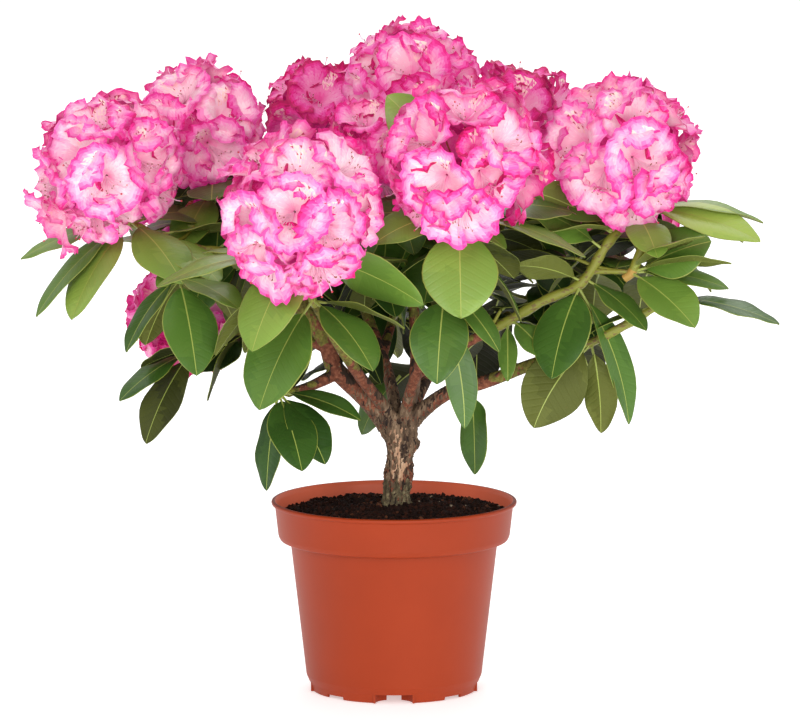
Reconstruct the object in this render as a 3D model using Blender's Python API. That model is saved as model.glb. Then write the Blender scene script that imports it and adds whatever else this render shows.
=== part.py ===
"""Potted rhododendron in bloom: plastic nursery pot, soil, short trunk, boughs, and foliage with ball trusses.

The pot stands on z = 0 round the z axis, and the side facing the viewer looks toward -y.
Tables are in millimetres and degrees; a bearing of 0 points at the viewer and 90 points to the right.
"""
import itertools
import math
import random

import bmesh
import bpy
from mathutils import Matrix, Vector
from mathutils.bvhtree import BVHTree

MM = 0.001
CLEAR = 0.3
CUT = CLEAR * 1.1
GUARD = 1.2
GOLDEN = 137.5
POT_SIDES = 32

# Pot section, from the foot up the outside, over the lip and down the inside: (radius, height).
POT_OUTSIDE = [
    (81.0, 0.0), (83.0, 8.2), (85.9, 15.0), (101.3, 147.0), (107.6, 147.2), (111.6, 149.0),
    (113.2, 153.0), (116.5, 182.6), (119.6, 183.2), (120.0, 185.8), (118.6, 187.0),
]
POT_INSIDE = [
    (116.2, 187.0), (114.4, 183.0), (111.0, 154.0), (109.0, 150.0), (99.2, 149.2), (84.0, 17.0), (81.4, 10.4),
]
UNDERSIDE_HEIGHT = 8.6
FOOT_INNER = 78.4
# Notches in the foot ring, four of each: first bearing, half-angle and height; and how far in and out they cut.
NOTCHES = [(0, 14.0, 8.6), (45, 7.7, 3.3)]
NOTCH_REACH = (70.0, 95.0)
# Pocket walls behind the wide notches: distance of their middle from the axis, inner and outer radius, top.
POCKET_MIDDLE = 80.6
POCKET_WALL = (18.0, 20.0)
POCKET_TOP = 9.4
POCKET_SLOT = 15.0
POCKET_TURN = 92.0
SOIL_TOP = [(0.0, 183.0), (26.0, 183.0), (60.0, 179.5), (90.0, 175.5)]
SOIL_EDGE = 172.5

# Trunk rings: (x, y, z, radius).
TRUNK = [
    (2.0, 0.0, 183.3, 14.4), (2.0, 0.0, 187.5, 12.4), (3.0, 0.4, 199.0, 12.8), (4.4, 0.6, 211.0, 13.9),
    (5.6, 0.2, 222.0, 12.4), (5.9, 0.0, 230.0, 12.1), (7.0, -0.6, 243.0, 15.0), (6.8, -0.4, 253.0, 16.2),
    (5.6, 0.0, 263.0, 14.6), (5.6, 0.4, 271.0, 9.0),
]

# Boughs: name, path, first and last radius. Each leaves the trunk or an earlier bough.
BOUGHS = [
    ("bough_left", [(2, 0, 256), (-28, -6, 289), (-57, -10, 318), (-69, -8, 348), (-104, -10, 392), (-144, -22, 428)],
     10.4, 4.4),
    ("bough_right", [(10, 0, 258), (28, -3, 276), (56, -10, 296), (88, -20, 306), (134, -30, 325), (176, -38, 341)],
     7.6, 5.0),
    ("bough_front", [(8, -4, 260), (16, -24, 298), (30, -66, 344), (42, -98, 378)], 5.6, 4.0),
    ("bough_front_left", [(2, -4, 260), (-12, -14, 284), (-32, -38, 313), (-56, -94, 358), (-75, -138, 398)], 6.2, 4.0),
    ("bough_centre", [(8, 4, 262), (20, 10, 302), (20, 18, 360), (13, 26, 424), (9, 30, 462)], 6.4, 4.0),
    ("bough_right_upper", [(20, 11, 308), (44, -6, 328), (74, -18, 346), (100, -26, 361)], 5.4, 4.8),
    ("bough_back", [(4, 6, 260), (-6, 36, 306), (-34, 86, 376), (-62, 128, 436), (-71, 143, 460)], 6.2, 3.8),
    ("bough_back_mid", [(-12, 48, 322), (2, 106, 362), (11, 156, 394)], 4.8, 3.8),
    ("bough_back_right", [(10, 6, 260), (36, 40, 308), (80, 90, 386), (104, 116, 436)], 6.0, 3.8),
    ("bough_back_far", [(44, 48, 320), (108, 98, 352), (160, 134, 374), (182, 148, 388)], 4.8, 3.8),
    ("bough_left_back", [(-71, -8, 350), (-92, 20, 388), (-132, 56, 436)], 5.2, 4.0),
    ("bough_left_rear", [(-98, 26, 396), (-134, 98, 402), (-162, 152, 406)], 4.4, 3.8),
    ("bough_left_low", [(-56, -10, 313), (-78, -24, 304), (-97, -33, 299)], 5.4, 4.2),
    ("bough_left_far", [(-64, -8, 336), (-104, 18, 350), (-144, 26, 346)], 4.4, 3.6),
]

# Shoots: name, mass, where it starts along the mass's first twig, points of its twig, leaf count, leaf length,
# first bearing, half-angle toward the viewer left to the posed leaves, steepest dip, truss centre and radius.
SHOOTS = [
    ("a", "mass_left", 0.0, [(-206, -32, 442), (-258, -36, 467)], 10, 120, 200, 100, 50, (-274, -60, 519), 75),
    ("m", "mass_left", 0.3, [(-208, -90, 418)], 7, 108, 150, 70, 50, None, 0),
    ("b", "mass_left_back", 0.0, [(-178, 72, 490)], 10, 118, 20, 0, 58, (-191, 72, 541), 68),
    ("b_in", "mass_left_back", 0.12, [(-126, 20, 456)], 7, 108, 40, 0, 66, None, 0),
    ("i", "mass_left_low", 0.0, [(-198, 28, 330)], 7, 108, 60, 80, 40, (-199, 78, 352), 56),
    ("n", "mass_low_sprig", 0.0, [(-113, -44, 300)], 7, 100, 190, 80, 50, None, 0),
    ("c", "mass_front_left", 0.0, [(-84, -156, 430), (-89, -166, 451)], 11, 118, 100, 95, 50, (-88, -200, 497), 80),
    ("e", "mass_top", 0.0, [(11, 40, 536)], 8, 116, 30, 0, 55, (18, 46, 588), 70),
    ("e_low", "mass_top", 0.12, [(-12, -34, 506)], 8, 108, 310, 0, 55, (-21, -60, 539), 52),
    ("f", "mass_front", 0.0, [(50, -120, 416), (62, -138, 486)], 11, 118, 120, 95, 50, (66, -170, 541), 80),
    ("e_in", "mass_top", 0.05, [(-32, 6, 448)], 8, 112, 80, 0, 68, None, 0),
    ("e_side", "mass_top", 0.06, [(48, -2, 446)], 7, 112, 0, 0, 62, None, 0),
    ("g", "mass_back_right", 0.0, [(118, 134, 500)], 10, 114, 75, 0, 55, (123, 140, 544), 60),
    ("h", "mass_right", 0.0, [(145, -35, 388), (181, -40, 406), (206, -40, 444), (238, -16, 476)], 11, 120, 140, 105, 40,
     (217, -40, 535), 77),
    ("q", "mass_right", 0.56, [(230, -50, 418)], 7, 106, 110, 100, 35, None, 0),
    ("r", "mass_right_low", 0.0, [(208, -45, 357), (242, -50, 377), (268, -52, 394)], 6, 106, 100, 100, 20, None, 0),
    ("l", "mass_back_far", 0.0, [(214, 168, 424)], 10, 118, 40, 0, 58, (225, 180, 475), 70),
    ("d", "mass_back_left", 0.0, [(-80, 164, 510)], 9, 112, 0, 0, 55, (-74, 168, 547), 55),
    ("k", "mass_back", 0.0, [(18, 198, 436)], 10, 118, 160, 0, 58, (28, 214, 485), 70),
    ("k_low", "mass_back", 0.15, [(-38, 182, 378)], 7, 110, 250, 0, 50, None, 0),
    ("j", "mass_left_rear", 0.0, [(-190, 192, 418)], 10, 118, 110, 0, 58, (-200, 210, 470), 70),
]
MASS_BOUGH = {
    "mass_left": "bough_left", "mass_left_back": "bough_left_back", "mass_left_low": "bough_left_far",
    "mass_low_sprig": "bough_left_low", "mass_front_left": "bough_front_left", "mass_top": "bough_centre",
    "mass_front": "bough_front", "mass_back_right": "bough_back_right", "mass_right": "bough_right_upper",
    "mass_right_low": "bough_right", "mass_back_far": "bough_back_far", "mass_back_left": "bough_back",
    "mass_back": "bough_back_mid", "mass_left_rear": "bough_left_rear",
}

# Leaves that show singly: shoot, place along its twig, bearing, dip below level, roll, length, width.
POSED_LEAVES = [
    ("a", 0.97, -50, 51, 0, 115, 54), ("a", 0.98, -80, 45, -25, 129, 44), ("a", 1.0, -100, 21, -20, 113, 40),
    ("a", 0.96, 48, 30, 0, 102, 52), ("a", 0.05, -48, 12, -20, 108, 44), ("a", 0.75, 45, 23, 5, 98, 50),
    ("m", 0.96, 16, 51, 0, 111, 54), ("m", 0.92, -50, 46, 10, 95, 40), ("m", 1.0, 40, 12, 0, 98, 48),
    ("i", 0.98, -62, 32, -10, 90, 44), ("i", 0.94, -45, 53, 0, 108, 46), ("i", 0.1, -25, 36, 65, 92, 42),
    ("n", 0.94, -16, 66, 30, 99, 36), ("n", 0.97, 22, 46, 0, 94, 50), ("n", 0.92, 46, 45, 20, 90, 42),
    ("n", 0.85, 58, 12, 25, 95, 40),
    ("c", 0.98, -35, 47, 0, 114, 68), ("c", 0.12, -50, 58, 0, 118, 66), ("c", 0.14, 43, 35, 0, 104, 56),
    ("c", 1.0, 83, 22, -50, 127, 60), ("c", 0.1, 62, 11, -20, 101, 48),
    ("f", 0.3, -8, 56, 0, 98, 57), ("f", 0.14, 65, 78, 60, 118, 31),
    ("f", 0.34, 40, 34, 10, 95, 28), ("f", 0.97, 2, 58, 0, 106, 73), ("f", 1.0, -64, 15, -30, 94, 44),
    ("f", 0.99, 84, 18, 8, 127, 38), ("f", 0.95, 60, 26, 0, 58, 32),
    ("h", 0.98, -67, -6, -50, 106, 54), ("h", 0.79, -69, -27, 65, 110, 40), ("h", 0.82, -50, -4, 10, 90, 46),
    ("h", 0.96, 14, 23, 0, 86, 44), ("h", 1.0, 78, 14, -35, 122, 50), ("h", 0.99, 98, 5, -10, 124, 44),
    ("h", 0.97, 90, 26, 10, 122, 44),
    ("q", 0.9, 52, -25, 0, 99, 54), ("q", 0.97, 74, -7, -20, 100, 44), ("q", 0.94, 45, 28, -15, 97, 48),
    ("q", 0.93, 94, 10, 20, 98, 42),
    ("r", 0.98, 80, 9, -15, 109, 42),
    ("h", 0.52, 60, 34, 5, 82, 44), ("h", 0.49, -34, 59, 0, 102, 64), ("h", 0.5, -62, -16, 40, 76, 40),
    ("h", 0.06, 0, 62, 20, 62, 20), ("h", 0.08, 44, 34, 20, 62, 32),
    ("r", 0.17, -66, 55, 0, 102, 64), ("r", 0.15, 30, 77, 60, 88, 36), ("e_low", 0.8, 24, -78, 0, 86, 36),
]
BEND = 28.0
LEAF_THICKNESS = 1.9
TWIG_RADII = (3.0, 2.2)
BOUGH_STEP = 0.026
TAPER = 1.3

# Florets of a truss: how many and how wide, as shares of its radius, for small trusses and for large ones.
WIDE_BELOW = 62
WIDE_FLORETS = (11, 0.49)
SLIM_FLORETS = (16, 0.345)
FLORET_MOUTH = 0.92
FLORET_DEPTH = 1.1
CORE = 0.36

# A whorl of leaves: the first lean up along the twig, the later ones droop and sit further back.
WHORL_LEAN = 12
WHORL_DROOP = 26
WHORL_DEPTH = 0.032
LEAST_DIP = 2.0
LEAF_APART = (24, 26)
SWINGS = list(itertools.product((0, 11, -11), (0, 8, 16, 24, -8, -16)))


# Scene set-up and small helpers.
for thing in list(bpy.data.objects):
    bpy.data.objects.remove(thing, do_unlink=True)


def vec(point):
    return Vector(point) * MM


def material(name, colour, roughness):
    made = bpy.data.materials.new(name)
    made.use_nodes = True
    shader = made.node_tree.nodes["Principled BSDF"]
    shader.inputs["Base Color"].default_value = (*colour, 1.0)
    shader.inputs["Roughness"].default_value = roughness
    shader.inputs["Metallic"].default_value = 0.0
    made.diffuse_color = (*colour, 1.0)
    return made


PLASTIC = material("pot_plastic", (0.46, 0.115, 0.045), 0.42)
SOIL = material("potting_soil", (0.022, 0.013, 0.009), 0.95)
BARK = material("bark", (0.135, 0.085, 0.058), 0.85)
LEAF = material("leaf", (0.075, 0.17, 0.035), 0.42)
BLOSSOM = material("blossom", (0.72, 0.14, 0.33), 0.6)


def in_triangles(faces):
    return [(f[0], f[k], f[k + 1]) for f in faces for k in range(1, len(f) - 1)]


def mesh_object(name, verts, faces):
    mesh = bpy.data.meshes.new(name)
    mesh.from_pydata([tuple(v) for v in verts], [], faces)
    mesh.update()
    obj = bpy.data.objects.new(name, mesh)
    bpy.context.scene.collection.objects.link(obj)
    return obj


def dress(obj, mat, angle):
    obj.data.materials.clear()
    obj.data.materials.append(mat)
    obj.data.polygons.foreach_set("use_smooth", [True] * len(obj.data.polygons))
    obj.data.set_sharp_from_angle(angle=math.radians(angle))


def revolve(profile, sides):
    """Closed solid of revolution; the profile starts and ends on the axis."""
    verts = [(0.0, 0.0, profile[0][1] * MM)]
    rings = []
    for radius, height in profile[1:-1]:
        rings.append(len(verts))
        for k in range(sides):
            turn = math.tau * k / sides
            verts.append((radius * MM * math.cos(turn), radius * MM * math.sin(turn), height * MM))
    last = len(verts)
    verts.append((0.0, 0.0, profile[-1][1] * MM))
    faces = []
    for k in range(sides):
        n = (k + 1) % sides
        faces.append((0, rings[0] + n, rings[0] + k))
        for a, b in zip(rings, rings[1:]):
            faces.append((a + k, a + n, b + n, b + k))
        faces.append((rings[-1] + k, rings[-1] + n, last))
    return verts, faces


def smooth_path(points, step):
    """Catmull-Rom curve through the points, sampled about every step; returns points and their share of length."""
    ends = [points[0] * 2 - points[1]] + list(points) + [points[-1] * 2 - points[-2]]
    out = []
    for p0, p1, p2, p3 in zip(ends, ends[1:], ends[2:], ends[3:]):
        count = max(1, round((p2 - p1).length / step))
        for k in range(count):
            t = k / count
            out.append(0.5 * (2 * p1 + (p2 - p0) * t + (2 * p0 - 5 * p1 + 4 * p2 - p3) * t * t
                              + (3 * p1 - p0 - 3 * p2 + p3) * t ** 3))
    out.append(points[-1].copy())
    walked = [0.0]
    for a, b in zip(out, out[1:]):
        walked.append(walked[-1] + (b - a).length)
    return out, [w / walked[-1] for w in walked]


def headings(path):
    inner = [(path[i + 1] - path[i - 1]).normalized() for i in range(1, len(path) - 1)]
    return [(path[1] - path[0]).normalized()] + inner + [(path[-1] - path[-2]).normalized()]


def tube(path, radii, sides, phase):
    """Closed tube with flat ends along a path, its sides carried along without twist."""
    ahead = headings(path)
    side = ahead[0].orthogonal().normalized()
    verts = []
    for point, heading, radius in zip(path, ahead, radii):
        side = (side - heading * side.dot(heading)).normalized()
        across = heading.cross(side)
        for k in range(sides):
            turn = math.tau * k / sides + phase
            verts.append(point + (side * math.cos(turn) + across * math.sin(turn)) * radius)
    faces = [tuple(reversed(range(sides)))]
    for ring in range(len(path) - 1):
        for k in range(sides):
            n = (k + 1) % sides
            a = ring * sides
            faces.append((a + k, a + n, a + sides + n, a + sides + k))
    faces.append(tuple(range(len(verts) - sides, len(verts))))
    return verts, faces


def shells(bm):
    """Face groups of the separate closed shells."""
    left = set(bm.faces)
    groups = []
    while left:
        todo = [left.pop()]
        group = set(todo)
        while todo:
            for edge in todo.pop().edges:
                for face in edge.link_faces:
                    if face in left:
                        left.discard(face)
                        group.add(face)
                        todo.append(face)
        groups.append(group)
    return groups


def shell_volume(group):
    total = 0.0
    for face in group:
        first = face.verts[0].co
        for a, b in zip(face.verts[1:], face.verts[2:]):
            total += first.dot(a.co.cross(b.co)) / 6.0
    return total


def part_sheets(bm):
    """Where two sheets share one diagonal, turns the diagonal of a flat pair of triangles the other way."""
    for edge in [e for e in bm.edges if len(e.link_faces) > 2]:
        if not edge.is_valid or len(edge.link_faces) != 4:
            continue
        p, q = edge.verts
        for one, two in itertools.combinations(list(edge.link_faces), 2):
            a = next(v for v in one.verts if v not in (p, q))
            b = next(v for v in two.verts if v not in (p, q))
            flat = one.normal.dot(two.normal) > 0.99
            if not flat or a is b or bm.edges.get((a, b)):
                continue
            loop = next(lp for lp in one.loops if lp.edge is edge)
            s, t = (p, q) if loop.vert is p else (q, p)
            first = (b.co - s.co).cross(a.co - s.co).dot(one.normal)
            second = (t.co - b.co).cross(a.co - b.co).dot(one.normal)
            if first <= 1e-12 or second <= 1e-12:
                continue
            bmesh.ops.delete(bm, geom=[one, two], context="FACES_ONLY")
            bm.faces.new((s, b, a))
            bm.faces.new((b, t, a))
            break
    bm.normal_update()


def tidy_shell(mesh, merge, method):
    """The main shell without scraps and sealed hollows, hair-thin triangles merged; also counts open edges."""
    bm = bmesh.new()
    bm.from_mesh(mesh)
    if merge:
        bmesh.ops.remove_doubles(bm, verts=bm.verts[:], dist=merge)
    bmesh.ops.triangulate(bm, faces=bm.faces[:], ngon_method=method)
    if merge:
        bmesh.ops.dissolve_degenerate(bm, edges=bm.edges[:], dist=merge)
        bmesh.ops.triangulate(bm, faces=bm.faces[:], ngon_method=method)
    part_sheets(bm)
    groups = shells(bm)
    best = max(groups, key=shell_volume)
    scrap = [face for group in groups if group is not best for face in group]
    bmesh.ops.delete(bm, geom=scrap, context="FACES")
    return bm, sum(1 for edge in bm.edges if not edge.is_manifold)


def keep_main_shell(obj):
    open_edges = 1
    for merge, method in itertools.product((5e-5, 2e-5, 1e-5, 2e-6, 0.0), ("BEAUTY", "EAR_CLIP")):
        bm, open_edges = tidy_shell(obj.data, merge, method)
        if open_edges == 0:
            bm.to_mesh(obj.data)
            bm.free()
            break
        bm.free()
    return open_edges


def combine(target, others, operation):
    """One Boolean of the target with a collection of others, applied; the others are removed."""
    group = bpy.data.collections.new("others")
    bpy.context.scene.collection.children.link(group)
    for other in others:
        group.objects.link(other)
        bpy.context.scene.collection.objects.unlink(other)
        other.hide_render = True
        other.display_type = "WIRE"
    plain = target.data.copy()
    whole = True
    for solver in ("MANIFOLD", "EXACT"):
        target.data = plain.copy()
        change = target.modifiers.new("join", "BOOLEAN")
        change.operation = operation
        change.operand_type = "COLLECTION"
        change.collection = group
        change.solver = solver
        graph = bpy.context.evaluated_depsgraph_get()
        result = bpy.data.meshes.new_from_object(target.evaluated_get(graph))
        target.modifiers.clear()
        target.data = result
        if len(result.polygons) > 3 and keep_main_shell(target) == 0:
            break
    else:
        print("the mesh stayed open:", target.name)
        whole = False
    for other in others:
        bpy.data.objects.remove(other, do_unlink=True)
    bpy.data.collections.remove(group)
    return whole


# Pot, with its foot ring notched and a slotted pocket wall behind each wide notch.
def build_pot():
    under = [(0.0, UNDERSIDE_HEIGHT), (FOOT_INNER, UNDERSIDE_HEIGHT), (FOOT_INNER, 0.0)]
    section = under + POT_OUTSIDE + POT_INSIDE + [(0.0, POT_INSIDE[-1][1])]
    pot = mesh_object("pot", *revolve(section, POT_SIDES))
    cutters = []
    for quarter in range(4):
        for start, half, high in NOTCHES:
            turn = math.radians(start + 90 * quarter - 90)
            wide = POT_OUTSIDE[0][0] * math.sin(math.radians(half)) * MM
            across, up = [r * MM for r in NOTCH_REACH], (-2.0 * MM, high * MM)
            box = [(x, y, z) for x in across for y in (-wide, wide) for z in up]
            spin = Matrix.Rotation(turn, 4, "Z")
            faces = [(0, 1, 3, 2), (4, 6, 7, 5), (0, 4, 5, 1), (2, 3, 7, 6), (0, 2, 6, 4), (1, 5, 7, 3)]
            cutters.append(mesh_object("notch", [spin @ Vector(p) for p in box], faces))
    combine(pot, cutters, "DIFFERENCE")
    walls = []
    inner, outer = POCKET_WALL
    opening = math.asin(POCKET_SLOT / (inner + outer))
    for quarter in range(4):
        spin = Matrix.Rotation(math.radians(90 * quarter), 4, "Z")
        for hand in (-1, 1):
            verts = []
            for k in range(4):
                turn = hand * (opening + (math.radians(POCKET_TURN) - opening) * k / 3)
                for radius, z in ((inner, 0.0), (outer, 0.0), (outer, POCKET_TOP), (inner, POCKET_TOP)):
                    local = Vector((math.sin(turn) * radius, math.cos(turn) * radius - POCKET_MIDDLE, z)) * MM
                    verts.append(spin @ local)
            faces = [(0, 1, 2, 3), (15, 14, 13, 12)]
            for k in range(3):
                for c in range(4):
                    n = (c + 1) % 4
                    faces.append((4 * k + c, 4 * k + 4 + c, 4 * k + 4 + n, 4 * k + n))
            wall = mesh_object("pocket", verts, faces)
            bm = bmesh.new()
            bm.from_mesh(wall.data)
            bmesh.ops.recalc_face_normals(bm, faces=bm.faces[:])
            bm.to_mesh(wall.data)
            bm.free()
            walls.append(wall)
    combine(pot, walls, "UNION")
    dress(pot, PLASTIC, 35)
    return pot


def build_soil():
    wall = [(r - CLEAR, z) for r, z in reversed(POT_INSIDE) if 20.0 > z > 12.0 or 148.0 < z < 160.0]
    low_r, low_z = POT_INSIDE[-1]
    floor = [(0.0, low_z + CLEAR), (low_r - CLEAR, low_z + CLEAR)]
    (r0, z0), (r1, z1) = POT_INSIDE[2], POT_INSIDE[1]
    edge_r = r0 + (r1 - r0) * (SOIL_EDGE - z0) / (z1 - z0) - CLEAR
    top = [(edge_r, SOIL_EDGE)] + list(reversed(SOIL_TOP))
    soil = mesh_object("soil", *revolve(floor + wall + top, POT_SIDES))
    dress(soil, SOIL, 40)
    return soil


# Trunk and boughs.
def build_trunk(grow, name):
    centres = [vec(ring[:3]) for ring in TRUNK]
    radii = [(ring[3] + grow) * MM for ring in TRUNK]
    centres[-1].z += grow * MM
    return mesh_object(name, *tube(centres, radii, 10, 0.0))


def bough_path(points, step):
    return smooth_path([vec(p) for p in points], step)


def build_bough(name, row, grow):
    points, first, last = row
    path, share = bough_path(points, BOUGH_STEP)
    radii = [(first + (last - first) * s ** TAPER + grow) * MM for s in share]
    return mesh_object(name, *tube(path, radii, 6, 0.3))


def box_of(obj):
    spots = [v.co for v in obj.data.vertices]
    low = Vector([min(p[i] for p in spots) for i in range(3)])
    high = Vector([max(p[i] for p in spots) for i in range(3)])
    return low, high


def boxes_meet(a, b):
    return all(a[0][i] <= b[1][i] and b[0][i] <= a[1][i] for i in range(3))


def tree_of(solid):
    verts, faces = solid
    return BVHTree.FromPolygons([tuple(v) for v in verts], in_triangles(faces))


def object_tree(obj):
    return BVHTree.FromPolygons([tuple(v.co) for v in obj.data.vertices], [tuple(p.vertices) for p in obj.data.polygons])


def build_limbs():
    trunk = build_trunk(0.0, "trunk")
    made = [trunk]
    rows = {}
    for name, points, first, last in BOUGHS:
        row = (points, first, last)
        bough = build_bough(name, row, 0.0)
        cutters = [build_trunk(CUT, "cutter")]
        for earlier, earlier_row in rows.items():
            cutters.append(build_bough("cutter", earlier_row, CUT))
        shape = object_tree(bough)
        near = [c for c in cutters if shape.overlap(object_tree(c))]
        for cutter in cutters:
            if cutter not in near:
                bpy.data.objects.remove(cutter, do_unlink=True)
        if near:
            combine(bough, near, "DIFFERENCE")
        rows[name] = row
        made.append(bough)
    for limb in made:
        dress(limb, BARK, 50)
    return made


# Leaves: the midline bends down in a vertical plane, and the blade is a thin wedge with a keel.
def leaf_lines(base, bearing, dip, roll, length, bend, stations):
    """Point, heading, side and normal at each station of a leaf's midline."""
    turn = math.radians(bearing)
    out = Vector((math.sin(turn), -math.cos(turn), 0.0))
    level_side = Vector((math.cos(turn), math.sin(turn), 0.0))
    rows = []
    for t in stations:
        mean = math.radians(-dip + bend / 2 - bend * t / 2)
        here = math.radians(-dip + bend / 2 - bend * t)
        point = base + (out * math.cos(mean) + Vector((0, 0, math.sin(mean)))) * (length * MM * t)
        heading = out * math.cos(here) + Vector((0, 0, math.sin(here)))
        normal = level_side.cross(heading).normalized()
        twist = Matrix.Rotation(math.radians(roll) * min(1.0, t * 2.5), 3, heading)
        rows.append((point, heading, twist @ level_side, twist @ normal))
    return rows


def leaf_blade(base, bearing, dip, roll, length, width):
    """The wide part of a leaf as a plain sheet."""
    rows = leaf_lines(base, bearing, dip, roll, length, BEND, (0.22, 0.36, 0.72, 0.97))
    verts = []
    for (point, _, side, _), w in zip(rows, (0.22, 0.47, 0.45, 0.06)):
        verts += [point - side * width * w * MM, point + side * width * w * MM]
    return verts, [(0, 1, 3, 2), (2, 3, 5, 4), (4, 5, 7, 6)]


def leaf_solid(base, bearing, dip, roll, length, width, grow=0.0):
    total = length + grow
    rows = leaf_lines(base, bearing, dip, roll, total, BEND, (0.0, 0.14, 0.36, 0.72, 1.0))
    half = [1.5 + grow, 1.9 + grow, width * 0.47 + grow, width * 0.45 + grow]
    keel = [1.6 + grow, 1.9 + grow, LEAF_THICKNESS + grow, LEAF_THICKNESS * 0.9 + grow]
    verts = []
    for (point, _, side, normal), w, k in zip(rows, half, keel):
        lift = normal * grow * MM
        verts += [point - side * w * MM + lift, point + side * w * MM + lift, point - normal * k * MM]
    verts.append(rows[-1][0])
    faces = [(2, 1, 0)]
    for a in (0, 3, 6):
        faces += [(a + 1, a + 4, a + 3, a), (a + 2, a + 5, a + 4, a + 1), (a, a + 3, a + 5, a + 2)]
    faces += [(10, 12, 9), (11, 12, 10), (9, 12, 11)]
    return verts, faces


# Trusses: funnel florets standing on the faces of a small core, all pointing away from its middle.
def core_faces(axis, phase, wide):
    """Corner directions of each core face, first face along the axis; wide florets get a twelve-sided core."""
    bm = bmesh.new()
    bmesh.ops.create_icosphere(bm, subdivisions=1, radius=1.0)
    if wide:
        loops = []
        for vert in bm.verts:
            pole = vert.co.normalized()
            side = pole.orthogonal().normalized()
            across = pole.cross(side)
            spots = [face.calc_center_median().normalized() for face in vert.link_faces]
            spots.sort(key=lambda spot: math.atan2(spot.dot(across), spot.dot(side)))
            loops.append(spots)
    else:
        loops = [[vert.co.normalized() for vert in face.verts] for face in bm.faces]
    bm.free()
    middle = sum(loops[0], Vector()).normalized()
    turn = Matrix.Rotation(math.radians(phase), 3, axis) @ middle.rotation_difference(axis).to_matrix()
    loops = [[turn @ spot for spot in loop] for loop in loops]
    loops.sort(key=lambda loop: -axis.dot(sum(loop, Vector()).normalized()))
    return loops


def truss_solid(centre, axis, radius, phase):
    wide = radius <= WIDE_BELOW
    loops = core_faces(axis, phase, wide)
    keep, share = WIDE_FLORETS if wide else SLIM_FLORETS
    reach = radius * share * MM
    corners = {}
    verts = []
    faces = []

    def corner(spot):
        key = tuple(round(c, 4) for c in spot)
        if key not in corners:
            corners[key] = len(verts)
            verts.append(centre + spot * CORE * radius * MM)
        return corners[key]

    for rank, loop in enumerate(loops):
        ring = [corner(spot) for spot in loop]
        if rank >= keep:
            faces.append(tuple(ring))
            continue
        aim = sum(loop, Vector()).normalized()
        mouth = centre + aim * FLORET_MOUTH * radius * MM
        start = len(verts)
        for k, spot in enumerate(loop):
            side = (spot - aim * spot.dot(aim)).normalized()
            across = aim.cross(side)
            for turn in ((0.0,) if wide else (-30.0, 30.0)):
                turn = math.radians(turn)
                verts.append(mouth + (side * math.cos(turn) + across * math.sin(turn)) * reach)
        throat = len(verts)
        verts.append(mouth - aim * reach * FLORET_DEPTH)
        count = throat - start
        for k in range(count):
            faces.append((start + k, start + (k + 1) % count, throat))
        size = len(loop)
        for k in range(size):
            n = (k + 1) % size
            if wide:
                faces.append((ring[k], ring[n], start + n, start + k))
            else:
                faces.append((ring[k], start + 2 * k + 1, start + 2 * k))
                faces.append((ring[k], ring[n], start + 2 * n, start + 2 * k + 1))
    return verts, faces


# Foliage masses.
def twig_paths():
    """Path of every shoot's twig; the first twig of a mass starts clear of its bough's tip."""
    rows = {name: points for name, points, first, last in BOUGHS}
    first_path = {}
    paths = {}
    for name, mass, start, points, *_ in SHOOTS:
        if mass not in first_path:
            bough, _ = bough_path(rows[MASS_BOUGH[mass]], BOUGH_STEP)
            heading = (bough[-1] - bough[-2]).normalized()
            root = bough[-1] + heading * CLEAR * MM
            lead = [root, root + heading * 0.006]
        else:
            trail, share = first_path[mass]
            index = min(range(len(share)), key=lambda i: abs(share[i] - start))
            away = (vec(points[0]) - trail[index]).normalized()
            lead = [trail[index] - away * 0.0012]
        path, share = smooth_path(lead + [vec(p) for p in points], 0.016)
        paths[name] = (path, share)
        first_path.setdefault(mass, (path, share))
    return paths


def place_on(path, share, where):
    for i in range(len(share) - 1):
        if where <= share[i + 1]:
            t = (where - share[i]) / (share[i + 1] - share[i])
            return path[i].lerp(path[i + 1], max(0.0, min(1.0, t)))
    return path[-1].copy()


def hits(shape, trees):
    return any(shape.overlap(tree) for tree in trees)


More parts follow.
